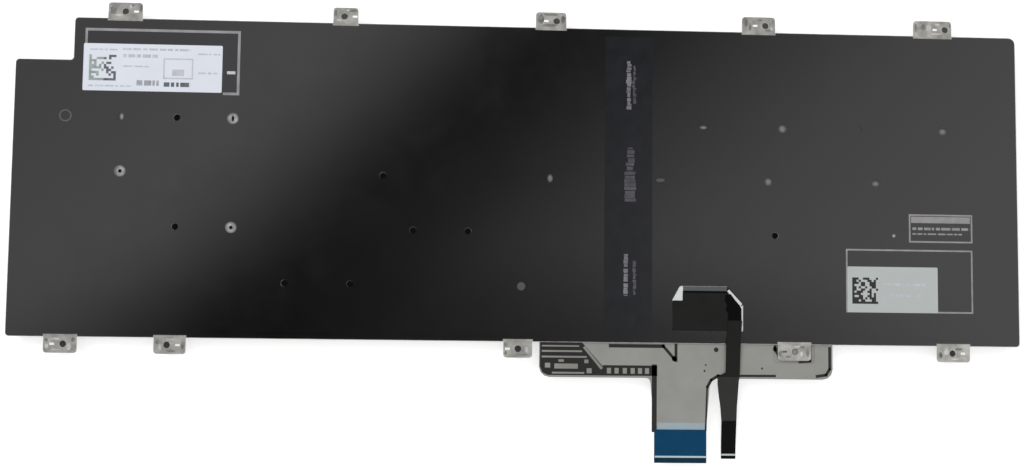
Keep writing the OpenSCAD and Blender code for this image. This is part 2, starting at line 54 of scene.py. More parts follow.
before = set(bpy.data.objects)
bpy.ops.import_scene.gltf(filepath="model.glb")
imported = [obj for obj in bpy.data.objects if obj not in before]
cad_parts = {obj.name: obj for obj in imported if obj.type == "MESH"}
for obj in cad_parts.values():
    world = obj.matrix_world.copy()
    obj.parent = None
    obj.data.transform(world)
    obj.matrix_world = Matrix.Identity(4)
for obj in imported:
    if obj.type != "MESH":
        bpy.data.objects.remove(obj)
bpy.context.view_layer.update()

MM = 0.001
MODULE = "module"
MOVING_KEYS = [name[len("key_"):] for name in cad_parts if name.startswith("key_")]
MECHANISM_NODES = {"outer_links": 0, "inner_links": 0, "rubber_domes": 1, "stabilizer_wires": 2}


def top_of(node_name):
    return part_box(node_name)[1].z / MM


def under_of(node_name):
    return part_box(node_name)[0].z / MM


FILM_TOP, PLATE_TOP = top_of("back_film"), under_of("back_film")
BOARD_TOP, BOARD_UNDER = top_of("membrane"), under_of("membrane")
LABEL_TOP, TAPE_TOP = top_of("large_label"), top_of("clear_tape")
STRIP_TOP, STIFFENER_TOP = top_of("led_strip"), top_of("tail_stiffener")
REFLECTOR_TOP, RIVET_TOP = top_of("reflector_sheet"), top_of("base_plate")


# Values that a user would change

def colour_value(name, description, *default):
    return FloatVectorProperty(name=name, description=description, subtype="COLOR",
                               default=default, min=0, max=1)


def length_value(name, description, millimetres):
    return FloatProperty(name=name, description=description, default=millimetres * MM, min=0,
                         unit="LENGTH", precision=5)


class KeyboardColours(bpy.types.PropertyGroup):
    film: colour_value("Film", "Black film on the back", 0.004, 0.004, 0.004)
    metal: colour_value("Plate", "Bare metal of the plate and its tabs", 0.47, 0.46, 0.43)
    board: colour_value("Board", "Printed board and tail", 0.3, 0.298, 0.277)
    stiffener: colour_value("Stiffener", "Blue stiffener of the tail", 0.006, 0.055, 0.125)
    keycap: colour_value("Keycaps", "Painted keycaps", 0.016, 0.016, 0.017)
    legend: colour_value("Legends", "Clear legends of the keycaps", 0.62, 0.64, 0.66)
    label: colour_value("Large label", "Stock of the large label", 0.75, 0.79, 0.87)
    grey_label: colour_value("Small label", "Stock of the small label", 0.49, 0.526, 0.513)
    ink: colour_value("Ink", "Dark print", 0.018, 0.018, 0.02)


class KeyboardSizes(bpy.types.PropertyGroup):
    print_height: length_value("Print thickness", "How far print stands up", 0.015)
    outline: length_value("Outline width", "Width of the outlines on the film", 0.55)
    letter: length_value("Letter height", "Size of the letters on the keys", 4.2)
    word: length_value("Word height", "Size of the words on the keys", 2.5)
    pressed_share: FloatProperty(name="Pressed height", min=0.1, max=1, default=0.43,
                                 subtype="FACTOR",
                                 description="A pressed key's links, as a share of their height")
    seed: IntProperty(name="Seed", description="Seed of the code block's squares", default=7, min=0)


class KeyboardStudio(bpy.types.PropertyGroup):
    camera_place: FloatVectorProperty(name="Camera", description="Place of the camera",
                                      subtype="TRANSLATION", unit="LENGTH",
                                      default=(-23.18 * MM, -48.54 * MM, 430.09 * MM))
    camera_turn: FloatVectorProperty(name="Camera turn", description="Turn of the camera",
                                     subtype="EULER", unit="ROTATION",
                                     default=tuple(math.radians(a) for a in (4.093, -2.672, 0.676)))
    lens: FloatProperty(name="Lens", description="Focal length in millimetres", default=44.094, min=1)
    room_light: FloatProperty(name="Room light", description="Strength of the world on matt surfaces",
                              default=0.72, min=0)
    lamp_power: FloatProperty(name="Lamp power", description="Power of the large lamp", default=9.0,
                              min=0, unit="POWER")


# Shapes, as lists of points in millimetres

def rectangle(x0, y0, x1, y1):
    return [(x0, y0), (x1, y0), (x1, y1), (x0, y1)]


def outline(x0, y0, x1, y1, width):
    """The four bars of a drawn rectangle."""
    return [rectangle(x0, y1 - width, x1, y1), rectangle(x0, y0, x1, y0 + width),
            rectangle(x0, y0 + width, x0 + width, y1 - width),
            rectangle(x1 - width, y0 + width, x1, y1 - width)]


def stroke(points, width):
    """One bar for each stretch of a line, drawn a little long so that the corners close."""
    bars = []
    for a, b in zip(points, points[1:]):
        a, b = Vector(a), Vector(b)
        along = (b - a).normalized() * width * 0.35
        side = Vector((-along.y, along.x)) / 0.7
        bars.append([a - along - side, b + along - side, b + along + side, a - along + side])
    return bars


def oval(x, y, across, up, sides=20):
    """An oval from its two half widths."""
    turns = [math.tau * k / sides for k in range(sides)]
    return [(x + across * math.cos(t), y + up * math.sin(t)) for t in turns]


def disc(x, y, radius):
    return oval(x, y, radius, radius)


def blot(x, y, across, up, chance):
    """An oval with an uneven rim."""
    return [(x + (px - x) * k, y + (py - y) * k) for (px, py), k in
            ((point, chance.uniform(0.7, 1.15)) for point in oval(x, y, across, up, 16))]


def ring(x, y, inner, outer, sides=24):
    """The pieces of a flat ring."""
    near, far = oval(x, y, inner, inner, sides), oval(x, y, outer, outer, sides)
    return [[far[k - 1], far[k], near[k], near[k - 1]] for k in range(sides)]


def code_block(x0, y0, x1, y1, cells, seed, share=0.48):
    """A block of small squares with two full sides, and about this share of the others."""
    chance = random.Random(seed)
    w, h = (x1 - x0) / cells, (y1 - y0) / cells
    return [rectangle(x0 + i * w, y0 + j * h, x0 + (i + 1) * w, y0 + (j + 1) * h)
            for i in range(cells) for j in range(cells)
            if i == 0 or j == 0 or chance.random() < share]


def text_row(x0, x1, y, height, seed):
    """A row of bars that stands for a line of small print."""
    chance = random.Random(seed)
    bars, x = [], x0
    while x < x1:
        length = min(chance.uniform(0.8, 3.2), x1 - x)
        bars.append(rectangle(x, y - height / 2, x + length, y + height / 2))
        x += length + chance.uniform(0.35, 0.7)
    return bars


# Pieces

def in_scene(name, data):
    made = bpy.data.objects.new(name, data)
    bpy.context.scene.collection.objects.link(made)
    return made


def new_piece(name, mesh, body=MODULE):
    piece = in_scene(name, mesh)
    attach(piece, body)
    return piece


def printed(name, shapes, z, finish, share=1.0, height=None):
    """Print on a flat face at height z: a share of the usual thickness, or a height of its own."""
    height = height or share * bpy.context.scene.keyboard_sizes.print_height
    material = bpy.data.materials[finish]
    bm = bmesh.new()
    for shape in shapes:
        low = [bm.verts.new((x * MM, y * MM, z * MM)) for x, y in shape]
        high = [bm.verts.new((x * MM, y * MM, z * MM + height)) for x, y in shape]
        bm.faces.new(low[::-1])
        bm.faces.new(high)
        for k in range(len(shape)):
            n = (k + 1) % len(shape)
            bm.faces.new((low[k], low[n], high[n], high[k]))
    bmesh.ops.recalc_face_normals(bm, faces=bm.faces)
    mesh = bpy.data.meshes.new(name)
    bm.to_mesh(mesh)
    bm.free()
    mesh.materials.append(material)
    new_piece(name, mesh)


def part_of(nodes, wanted):
    """The vertices, faces and material places of those faces of CAD nodes that wanted() picks by
    their middle."""
    vertices, faces, places = [], [], []
    for node in nodes:
        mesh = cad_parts[node].data
        index = {}
        for polygon in mesh.polygons:
            if not wanted(polygon.center):
                continue
            face = []
            for v in polygon.vertices:
                if v not in index:
                    index[v] = len(vertices)
                    vertices.append(mesh.vertices[v].co.copy())
                face.append(index[v])
            faces.append(face)
            places.append(MECHANISM_NODES[node])
    return vertices, faces, places


def mesh_of(name, vertices, faces, materials, places=None):
    mesh = bpy.data.meshes.new(name)
    mesh.from_pydata(vertices, [], faces)
    for material in materials:
        mesh.materials.append(material)
    if places:
        mesh.polygons.foreach_set("material_index", places)
    mesh.update()
    return mesh


WELD_WITHIN = 1e-7


def solid_boxes(node):
    """The lowest and highest corner of each separate solid of a CAD node, row by row."""
    bm = bmesh.new()
    bm.from_mesh(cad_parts[node].data)
    bmesh.ops.remove_doubles(bm, verts=bm.verts, dist=WELD_WITHIN)
    left, boxes = set(bm.verts), []
    while left:
        front = [left.pop()]
        island = list(front)
        while front:
            found = {e.other_vert(v) for v in front for e in v.link_edges} & left
            left -= found
            island += found
            front = list(found)
        low = Vector([min(v.co[k] for v in island) for k in range(3)])
        high = Vector([max(v.co[k] for v in island) for k in range(3)])
        boxes.append((low, high))
    bm.free()
    return sorted(boxes, key=lambda box: (-round(box[1].y / MM), -box[1].x))


# Effects that more than one material uses

def effect(name, inputs, outputs):
    """A node group with its inputs' values and its outputs by name. A socket called Colour is one,
    and the others are numbers. Returns its tree, its input node and its output node."""
    tree = bpy.data.node_groups.new(name, "ShaderNodeTree")

    def socket(title, side):
        kind = "NodeSocketColor" if title == "Colour" else "NodeSocketFloat"
        return tree.interface.new_socket(title, in_out=side, socket_type=kind)

    for title, value in inputs.items():
        socket(title, "INPUT").default_value = value
    for title in outputs:
        socket(title, "OUTPUT")
    return tree, tree.nodes.new("NodeGroupInput"), tree.nodes.new("NodeGroupOutput")


def node(tree, kind, **settings):
    made = tree.nodes.new("ShaderNode" + kind)
    for key, value in settings.items():
        setattr(made, key, value)
    return made


def fill(place, value):
    """Links an input to a socket, or gives it a number or a colour."""
    if isinstance(value, bpy.types.NodeSocket):
        value.id_data.links.new(value, place)
    else:
        place.default_value = (*value, 1) if isinstance(value, tuple) else value


def math_node(operation, *values, clamp=False):
    """A Math node over sockets and numbers, in the tree of the first socket."""
    tree = next(v for v in values if isinstance(v, bpy.types.NodeSocket)).id_data
    made = node(tree, "Math", operation=operation, use_clamp=clamp)
    for place, value in zip(made.inputs, values):
        fill(place, value)
    return made.outputs[0]


def plus(a, b, clamp=False):
    return math_node("ADD", a, b, clamp=clamp)


def minus(a, b, clamp=False):
    return math_node("SUBTRACT", a, b, clamp=clamp)


def times(a, b, clamp=False):
    return math_node("MULTIPLY", a, b, clamp=clamp)


def divided(a, b, clamp=False):
    return math_node("DIVIDE", a, b, clamp=clamp)


def greatest(first, *others):
    for other in others:
        first = math_node("MAXIMUM", first, other)
    return first


def colour_mix(factor, a, b):
    """One colour where factor is 0 and the other where it is 1. Each is a socket or a colour."""
    made = node(factor.id_data, "Mix", data_type="RGBA")
    for place, value in zip((made.inputs[0], *made.inputs[6:8]), (factor, a, b)):
        fill(place, value)
    return made.outputs[2]


def scaled(colour, factor):
    made = node(factor.id_data, "VectorMath", operation="SCALE")
    fill(made.inputs[0], colour)
    fill(made.inputs["Scale"], factor)
    return made.outputs[0]


def place_of(tree, kind):
    """The X, Y and Z of a texture coordinate, by name."""
    split = node(tree, "SeparateXYZ")
    fill(split.inputs[0], node(tree, "TexCoord").outputs[kind])
    return split.outputs


def new_tree(data):
    data.use_nodes = True
    return data.node_tree


def noise(tree, scale, detail, rough=0.5):
    """Noise over the object's own coordinates. scale is a socket or a number."""
    made = node(tree, "TexNoise")
    for name, value in (("Vector", node(tree, "TexCoord").outputs["Object"]), ("Scale", scale),
                        ("Detail", detail), ("Roughness", rough)):
        fill(made.inputs[name], value)
    return made.outputs["Fac"]


def colour_drift():
    """A colour that wanders lighter and darker over patches of a size."""
    tree, given, out = effect(
        "Colour Drift", {"Colour": (0.5, 0.5, 0.5, 1), "Patch Scale": 60.0, "Amount": 0.15},
        ["Colour"])
    fac = noise(tree, given.outputs["Patch Scale"], 5.0)
    swing = times(minus(fac, 0.5), 2.0)
    gain = plus(times(swing, given.outputs["Amount"]), 1.0)
    fill(out.inputs["Colour"], scaled(given.outputs["Colour"], gain))


def surface_grain():
    """Fine grain and slow waves for the height of a surface, and a roughness that varies."""
    tree, given, out = effect(
        "Surface Grain", {"Grain Scale": 4000.0, "Grain Height": 0.5, "Wave Scale": 40.0,
                          "Wave Height": 0.0, "Roughness": 0.4, "Roughness Spread": 0.08},
        ["Height", "Roughness"])
    fine = noise(tree, given.outputs["Grain Scale"], 3.0, 0.6)
    slow = noise(tree, given.outputs["Wave Scale"], 2.0)
    fill(out.inputs["Height"], plus(times(fine, given.outputs["Grain Height"]),
                                    times(slow, given.outputs["Wave Height"])))
    smudge = noise(tree, 90.0, 6.0, 0.65)
    spread = times(minus(smudge, 0.5), times(given.outputs["Roughness Spread"], 4.0))
    fill(out.inputs["Roughness"], plus(given.outputs["Roughness"], spread, clamp=True))


def worn_edges():
    """A mask along sharp edges, broken up by noise."""
    tree, given, out = effect("Worn Edges", {"Radius": 0.3 * MM, "Amount": 1.0}, ["Mask"])
    rounded = node(tree, "Bevel", samples=4)
    fill(rounded.inputs["Radius"], given.outputs["Radius"])
    sharp = node(tree, "NewGeometry")
    same = node(tree, "VectorMath", operation="DOT_PRODUCT")
    fill(same.inputs[0], rounded.outputs["Normal"])
    fill(same.inputs[1], sharp.outputs["Normal"])
    edge = times(minus(1.0, same.outputs["Value"]), 5.0)
    broken = times(edge, noise(tree, 900.0, 4.0))
    fill(out.inputs["Mask"], times(broken, given.outputs["Amount"], clamp=True))


def group_in(tree, group, **values):
    """The group as a node of a material, with values for its inputs by name."""
    made = node(tree, "Group", node_tree=bpy.data.node_groups[group])
    for name, value in values.items():
        fill(made.inputs[name.replace("_", " ")], value)
    return made


# How deep the highest bump of any surface goes
BUMP_DEPTH = 0.1


def finish_of(name, colour, slot_name, roughness=0.4, drift=0.12, patch=60.0, grain=4000.0,
              grain_height=0.3, wave=40.0, wave_height=0.0, spread=0.05, bump=0.2, metallic=0.0,
              worn=0.0, worn_colour=(0.8, 0.8, 0.78), raised_from=None, raised_colour=None,
              specular=0.5):
    """A material from the shared effects, with this surface's own values."""
    made = bpy.data.materials.new(name)
    tree = new_tree(made)
    shader = tree.nodes["Principled BSDF"]
    drifting = group_in(tree, "Colour Drift", Colour=tuple(colour), Patch_Scale=patch, Amount=drift)
    grained = group_in(tree, "Surface Grain", Grain_Scale=grain, Grain_Height=grain_height,
                       Wave_Scale=wave, Wave_Height=wave_height, Roughness=roughness,
                       Roughness_Spread=spread)
    tinted = drifting.outputs["Colour"]
    if worn:
        edges = group_in(tree, "Worn Edges", Amount=worn)
        tinted = colour_mix(edges.outputs["Mask"], tinted, worn_colour)
    if raised_from is not None:
        raised = math_node("GREATER_THAN", place_of(tree, "Object")["Z"], raised_from)
        tinted = colour_mix(raised, tinted, raised_colour)
    fill(shader.inputs["Base Color"], tinted)
    fill(shader.inputs["Roughness"], grained.outputs["Roughness"])
    bumped = node(tree, "Bump")
    bumped.inputs["Strength"].default_value = bump
    bumped.inputs["Distance"].default_value = BUMP_DEPTH * MM
    fill(bumped.inputs["Height"], grained.outputs["Height"])
    fill(shader.inputs["Normal"], bumped.outputs["Normal"])
    shader.inputs["Metallic"].default_value = metallic
    shader.inputs["Specular IOR Level"].default_value = specular
    made["slot"] = slot_name


# Materials, one function for each family of surfaces. The numbers after a slot are roughness, drift
# and patch size.

def make_plastics(colours):
    finish_of("black film", colours.film, "black_film", 0.11, 0.25, 30.0,
              grain=2500.0, grain_height=0.35, wave=28.0, wave_height=2.0, spread=0.03, bump=0.1,
              specular=0.79)
    finish_of("keycap paint", colours.keycap, "keycap_plastic", 0.5, 0.15, 80.0,
              grain=9000.0, grain_height=0.6, bump=0.35, worn=0.25, worn_colour=(0.05, 0.05, 0.05))
    finish_of("link plastic", (0.66, 0.66, 0.63), "link_plastic", 0.45, 0.06)
    finish_of("dome rubber", (0.55, 0.55, 0.53), "dome_rubber", 0.6, 0.08)
    finish_of("light guide", (0.72, 0.76, 0.78), "guide_plastic", 0.15, 0.05)
    finish_of("clear legend", colours.legend, "keycap_plastic", 0.4, 0.05)


def make_sheets(colours):
    finish_of("printed board", colours.board, "membrane_sheet", 0.36, 0.16, 140.0,
              grain=3500.0, grain_height=0.5, wave=90.0, wave_height=1.0)
    finish_of("white reflector", (0.72, 0.73, 0.73), "white_sheet", 0.45, 0.06)
    finish_of("blue stiffener", colours.stiffener, "blue_stiffener", 0.3, 0.2, 200.0,
              grain=2500.0, bump=0.12, specular=0.04)
    for name, colour, specular in (("flexible circuit", (0.024, 0.0245, 0.022), 0.25),
                                   ("dark circuit", (0.012, 0.0125, 0.0115), 0.12)):
        finish_of(name, colour, "flex_black", 0.42, 0.3, 160.0, wave=150.0, wave_height=1.0,
                  specular=specular)
    finish_of("contact black", (0.004, 0.004, 0.004), "flex_black", 0.35, 0.2, specular=0.06)
    finish_of("label stock", colours.label, "label_paper", 0.42, 0.05, 120.0, bump=0.1)
    finish_of("grey label stock", colours.grey_label, "label_paper", 0.5, 0.05, 120.0, bump=0.1)
    finish_of("tape", (0.006, 0.0065, 0.0095), "clear_tape", 0.2, 0.7, 260.0,
              grain=1500.0, grain_height=0.8, wave=220.0, wave_height=2.2, spread=0.06, bump=0.12)
    finish_of("window shade", (0.085, 0.095, 0.1), "white_sheet", 0.4, 0.2)


# The inks: colour, slot, roughness, drift and, where it isn't the usual, patch size
INKS = {
    "grey ink": ((0.13, 0.13, 0.15), "label_paper", 0.5, 0.7, 900.0),
    "soft ink": ((0.36, 0.36, 0.4), "label_paper", 0.5, 0.6, 700.0),
    "faint ink": ((0.55, 0.56, 0.61), "label_paper", 0.5, 0.3, 400.0),
    "green ink": ((0.33, 0.38, 0.36), "label_paper", 0.5, 0.5, 700.0),
    "pale print": ((0.30, 0.29, 0.30), "black_film", 0.4, 0.4, 300.0),
    "bright print": ((0.62, 0.6, 0.62), "black_film", 0.4, 0.2),
    "scuff print": ((0.17, 0.17, 0.18), "clear_tape", 0.5, 0.9, 420.0),
    "dull scuff print": ((0.075, 0.07, 0.085), "clear_tape", 0.4, 0.9, 420.0),
    "carbon print": ((0.006, 0.006, 0.006), "membrane_sheet", 0.35, 0.3),
    "silver print": ((0.26, 0.25, 0.225), "membrane_sheet", 0.4, 0.3),
    "tail tint": ((0.33, 0.41, 0.46), "membrane_sheet", 0.35, 0.1),
    "pale contact line": ((0.52, 0.6, 0.64), "membrane_sheet", 0.3, 0.1),
}


def make_inks(colours):
    finish_of("dark ink", colours.ink, "label_paper", 0.5, 0.2)
    for name, values in INKS.items():
        finish_of(name, *values)
    finish_of("frame shade", (0.0045, 0.0038, 0.007), "black_film", 0.12, 0.3, specular=0.75)
    finish_of("hole black", (0.001, 0.001, 0.001), "black_film", 0.6, 0.2, specular=0.1)
    finish_of("stiffener foot", (0.008, 0.033, 0.055), "blue_stiffener", 0.3, 0.3, 300.0,
              specular=0.04)


def make_metals(colours):
    finish_of("plate metal", colours.metal, "bare_steel", 0.38, 0.75, 330.0,
              grain=3000.0, grain_height=0.8, spread=0.12, bump=0.35, metallic=0.8, worn=0.5,
              raised_from=(PLATE_TOP + 0.05) * MM, raised_colour=(0.014, 0.014, 0.014))
    # Painted highlights for the rivets and the film round them, from bright to faint
    finish_of("rubbed metal", (0.33, 0.33, 0.34), "bare_steel", 0.45, 1.1, 600.0)
    finish_of("soft rubbed metal", (0.19, 0.19, 0.19), "bare_steel", 0.45, 0.5, 600.0)
    finish_of("faint rubbed metal", (0.075, 0.075, 0.075), "bare_steel", 0.45, 0.3)
    finish_of("tab stain", (0.24, 0.24, 0.225), "bare_steel", 0.45, 0.9, 500.0, metallic=0.5)
    finish_of("tab shine", (0.64, 0.64, 0.62), "bare_steel", 0.3, 0.4, 500.0, metallic=0.5)
    # A dim painted highlight for the film round a rivet
    finish_of("dull metal", (0.1, 0.1, 0.1), "bare_steel", 0.45, 0.7, 500.0)
    finish_of("spring wire", (0.55, 0.55, 0.54), "spring_steel", 0.3, 0.08, metallic=1.0)


def paint(node_name, material_name):
    """Gives a CAD node its material."""
    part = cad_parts[node_name]
    part.data.materials.clear()
    part.data.materials.append(bpy.data.materials[material_name])


NODE_FINISHES = {
    "base_plate": "plate metal", "membrane": "printed board", "tail_stiffener": "blue stiffener",
    "light_guide": "light guide", "reflector_sheet": "white reflector", "back_film": "black film",
    "led_strip": "dark circuit", "cable_contact_end": "contact black", "clear_tape": "tape",
    "large_label": "label stock", "small_label": "grey label stock",
}


# The stage

# The studio overhead: how bright it is on a line across it, from the sine of the angle to the
# zenith. A soft dark card hangs between two bright panels. It shows only above OVERHEAD_FROM.
CARD_ACROSS = (-0.7071, 0.7071)
CARD_PROFILE = [(-0.22, 1.0), (-0.09, 0.8), (-0.0375, 0.58), (0.0125, 0.4), (0.05, 0.2), (0.09, 0.08),
                (0.125, 0.04), (0.15, 0.18), (0.195, 0.72), (0.23, 0.98), (0.35, 0.76)]
OVERHEAD_FROM = 0.75
LEAST_RISE = 0.2

# The dark shape of the photographer low in that reflection: its middle and half sizes, as sines
# along X and Y, and how much light it takes
FIGURE_MIDDLE = (0.01, -0.03)
FIGURE_HALF = (0.43, 0.095)
FIGURE_TAKES = 0.75

# The walls as reflections see them: their light, and the sine of the height up to which they are
# darkest
WALL_LIGHT = 0.3
WALL_TO = 0.55

# The lamp, in metres
LAMP_SIZE = (0.9, 0.6)
LAMP_PLACE = (-0.9, 0.9, 1.1)


def add_camera(studio):
    data = bpy.data.cameras.new("camera")
    data.sensor_width = 36
    data.lens = studio.lens
    data.clip_start, data.clip_end = 0.01, 20
    camera = in_scene("camera", data)
    camera.location = studio.camera_place
    camera.rotation_euler = studio.camera_turn
    bpy.context.scene.camera = camera


def overhead_card(tree, across):
    """The card's brightness from the place on the line across it."""
    shade = node(tree, "ValToRGB")
    stops = shade.color_ramp.elements
    while len(stops) < len(CARD_PROFILE):
        stops.new(1.0)
    for stop, (at, value) in zip(stops, CARD_PROFILE):
        stop.position = at + 0.5
        stop.color = (value, value, value, 1)
    fill(shade.inputs["Fac"], plus(across, 0.5, clamp=True))
    return shade.outputs["Color"]


def figure_left_over(x_and_y):
    """The share of the light that gets past the figure."""
    away = []
    for sine, middle, half in zip(x_and_y, FIGURE_MIDDLE, FIGURE_HALF):
        offset = divided(minus(sine, middle), half)
        away.append(math_node("POWER", math_node("ABSOLUTE", offset), 2.0))
    figure = minus(1.0, plus(*away), clamp=True)
    return minus(1.0, times(figure, FIGURE_TAKES))


def add_world(studio):
    """White studio walls. Only reflections see the card and the figure overhead, and the walls
    dimmed."""
    world = bpy.data.worlds.new("studio")
    bpy.context.scene.world = world
    tree = new_tree(world)
    tree.nodes.clear()
    out = node(tree, "OutputWorld")
    light = node(tree, "Background")
    fill(out.inputs["Surface"], light.outputs[0])
    ray = node(tree, "LightPath").outputs
    x, y, z = place_of(tree, "Generated")
    rise = greatest(z, LEAST_RISE)
    across = plus(times(x, CARD_ACROSS[0]), times(y, CARD_ACROSS[1]))
    card = overhead_card(tree, divided(across, rise))
    left_over = figure_left_over([divided(side, rise) for side in (x, y)])
    overhead = math_node("GREATER_THAN", z, OVERHEAD_FROM)
    tone = colour_mix(times(overhead, ray["Is Glossy Ray"]), (1, 1, 1), scaled(card, left_over))
    fill(light.inputs["Color"], tone)
    seen = greatest(ray["Is Camera Ray"], ray["Is Glossy Ray"], ray["Is Transmission Ray"])
    strength = plus(times(seen, 1 - studio.room_light), studio.room_light)
    steep = minus(math_node("ABSOLUTE", z), WALL_TO)
    high = divided(steep, OVERHEAD_FROM - WALL_TO, clamp=True)
    taken = times(times(minus(1.0, high), ray["Is Glossy Ray"]), 1 - WALL_LIGHT)
    fill(light.inputs["Strength"], times(strength, minus(1.0, taken)))


def add_lamp(studio):
    data = bpy.data.lights.new("softbox", "AREA")
    data.shape = "RECTANGLE"
    data.size, data.size_y = LAMP_SIZE
    data.energy = studio.lamp_power
    lamp = in_scene("softbox", data)
    lamp.location = LAMP_PLACE
    lamp.rotation_euler = (-lamp.location).to_track_quat("-Z", "Y").to_euler()
    lamp.visible_glossy = False


# The floor: its light for the camera, its height below the keys, half its size in metres, and how
# near a ray that isn't the camera's has to start to pass through
FLOOR_GLOW = 0.5
FLOOR_UNDER = -0.06
FLOOR_HALF = 3.0
FLOOR_CLEAR_WITHIN = 8

# The deep shade on the bench under each tab: its middle and half widths
TAB_SHADES = [(x, 57.9, 2.6, 2.5) for x in (-137.4, -62.5, 11.2, 85.0, 149.2)]
TAB_SHADES += [(x, -56.5, 2.5, 2.1) for x in (-154.5, -119.8, -1.1, 149.9)]


def floor_material():
    """Matt white that glows a little for the camera. It can't be seen from below, and lets the
    light from below reach what lies close above it."""
    made = bpy.data.materials.new("floor white")
    tree = new_tree(made)
    tree.nodes.clear()
    out = node(tree, "OutputMaterial")
    matt = node(tree, "BsdfDiffuse")
    matt.inputs["Color"].default_value = (0.86, 0.86, 0.86, 1)
    ray = node(tree, "LightPath").outputs
    glow = node(tree, "Emission")
    fill(glow.inputs["Strength"], times(ray["Is Camera Ray"], FLOOR_GLOW))
    lit = node(tree, "AddShader")
    either = node(tree, "MixShader")
    near = math_node("LESS_THAN", ray["Ray Length"], FLOOR_CLEAR_WITHIN * MM)
    near = minus(near, ray["Is Camera Ray"], clamp=True)
    back = node(tree, "NewGeometry").outputs["Backfacing"]
    fill(either.inputs["Fac"], greatest(back, near))
    for source, target in ((matt, lit.inputs[0]), (glow, lit.inputs[1]), (lit, either.inputs[1]),
                           (node(tree, "BsdfTransparent"), either.inputs[2]),
                           (either, out.inputs["Surface"])):
        fill(target, source.outputs[0])
    return made


def shade_material():
    """A soft dark spot that fades out from its middle, where u is 0, to its rim, where u is 1. It
    shows only from above."""
    made = bpy.data.materials.new("bench shade")
    tree = new_tree(made)
    shader = tree.nodes["Principled BSDF"]
    shader.inputs["Base Color"].default_value = (0.1, 0.1, 0.098, 1)
    shader.inputs["Specular IOR Level"].default_value = 0
    fade = times(minus(1.0, place_of(tree, "UV")["X"]), 2.0, clamp=True)
    facing = node(tree, "LayerWeight").outputs["Facing"]
    above = times(minus(0.35, facing), 5.0, clamp=True)
    shown = minus(node(tree, "LightPath").outputs["Is Camera Ray"],
                  node(tree, "NewGeometry").outputs["Backfacing"], clamp=True)
    fill(shader.inputs["Alpha"], times(times(fade, above), shown))
    return made


def add_tab_shades():
    bm = bmesh.new()
    fade = bm.loops.layers.uv.new("fade")
    for x, y, across, up in TAB_SHADES:
        middle, *rim = [bm.verts.new(Vector((px, py, FLOOR_UNDER + 0.01)) * MM)
                        for px, py in [(x, y)] + oval(x, y, across, up, 24)]
        for k, start in enumerate(rim):
            face = bm.faces.new((middle, start, rim[(k + 1) % len(rim)]))
            for loop in face.loops:
                loop[fade].uv = (0 if loop.vert is middle else 1, 0)
    mesh = bpy.data.meshes.new("bench_shade")
    bm.to_mesh(mesh)
    bm.free()
    mesh.materials.append(shade_material())
    in_scene("bench_shade", mesh)


def add_floor():
    corners = rectangle(-FLOOR_HALF, -FLOOR_HALF, FLOOR_HALF, FLOOR_HALF)
    mesh = mesh_of("floor", [(x, y, FLOOR_UNDER * MM) for x, y in corners], [(0, 1, 2, 3)],
                   [floor_material()])
    in_scene("floor", mesh)


class KEYBOARD_OT_stage(bpy.types.Operator):
    """Makes the camera, the white studio and the floor"""
    bl_idname = "keyboard.stage"
    bl_label = "Stage"

    def execute(self, context):
        studio = context.scene.keyboard_studio
        add_camera(studio)
        add_world(studio)
        add_lamp(studio)
        add_floor()
        add_tab_shades()
        context.scene.view_settings.view_transform = "Standard"
        return {"FINISHED"}


# The backlight cable

# The cable's route over the bench: how far along Y and how far below the film, then where its
# left and right edges are from place to place
CABLE_ROUTE = [(-46, 0), (-54, 0), (-58, -0.08), (-62, -0.3), (-66, -0.7), (-70, -1.25),
               (-75, -2.1), (-80, -3.05), (-85, -4), (-89, -4.75), (-93.2, -5.19)]
CABLE_LEFT = [(-46, 70.2), (-54.5, 69.7), (-63.6, 69.6), (-65.2, 66.9), (-67.3, 66.9), (-71.2, 67.4),
              (-75.1, 68.1), (-80.2, 68.7), (-93.2, 69.0)]
CABLE_RIGHT = [(-46, 75.2), (-54.5, 74.7), (-63.6, 74.5), (-67.3, 74.2), (-75.1, 73.9), (-93.2, 74.0)]
CABLE_THICKNESS = 0.12
CABLE_SIDES = (-0.5, -0.46, -0.2, 0, 0.2, 0.46, 0.5)
CABLE_EDGE_WORN = 0.02

# Where along Y the darker part ends, the contact end begins, and the pale stripe lies
DARK_TO = -64.5
CONTACT_FROM = -80.2
CONTACT_THICKNESS = 0.09
STRIPE = (-91.5, -92.1)


def along_line(line, y):
    """The value of a line of (y, value) pairs at y, where y falls from pair to pair."""
    for (y0, low), (y1, high) in zip(line, line[1:]):
        if y >= y1:
            break
    return low + (high - low) * (y0 - y) / (y0 - y1)


def ribbon_point(y, drop, share, up, inset=0.0):
    """A point of the ribbon in metres: share runs across it, and up from its underside."""
    left, right = along_line(CABLE_LEFT, y), along_line(CABLE_RIGHT, y)
    x = (left + right) / 2 + share * (right - left - inset)
    return Vector((x, y, FILM_TOP + drop + up)) * MM


def smooth_route(steps=5):
    """The route with points added on a smooth curve through its own."""
    points = [Vector(p) for p in CABLE_ROUTE]
    points = [2 * points[0] - points[1]] + points + [2 * points[-1] - points[-2]]
    line = []
    for a, b, c, d in zip(points, points[1:], points[2:], points[3:]):
        for k in range(steps):
            t = k / steps
            line.append(0.5 * (2 * b + (c - a) * t + (2 * a - 5 * b + 4 * c - d) * t ** 2
                               + (3 * b - a - 3 * c + d) * t ** 3))
    return line + [points[-2]]


def stretch(line, start, end, steps=12):
    """The part of the route between two places, with its heights."""
    return [(y, along_line(line, y)) for y in
            (start + (end - start) * k / steps for k in range(steps + 1))]


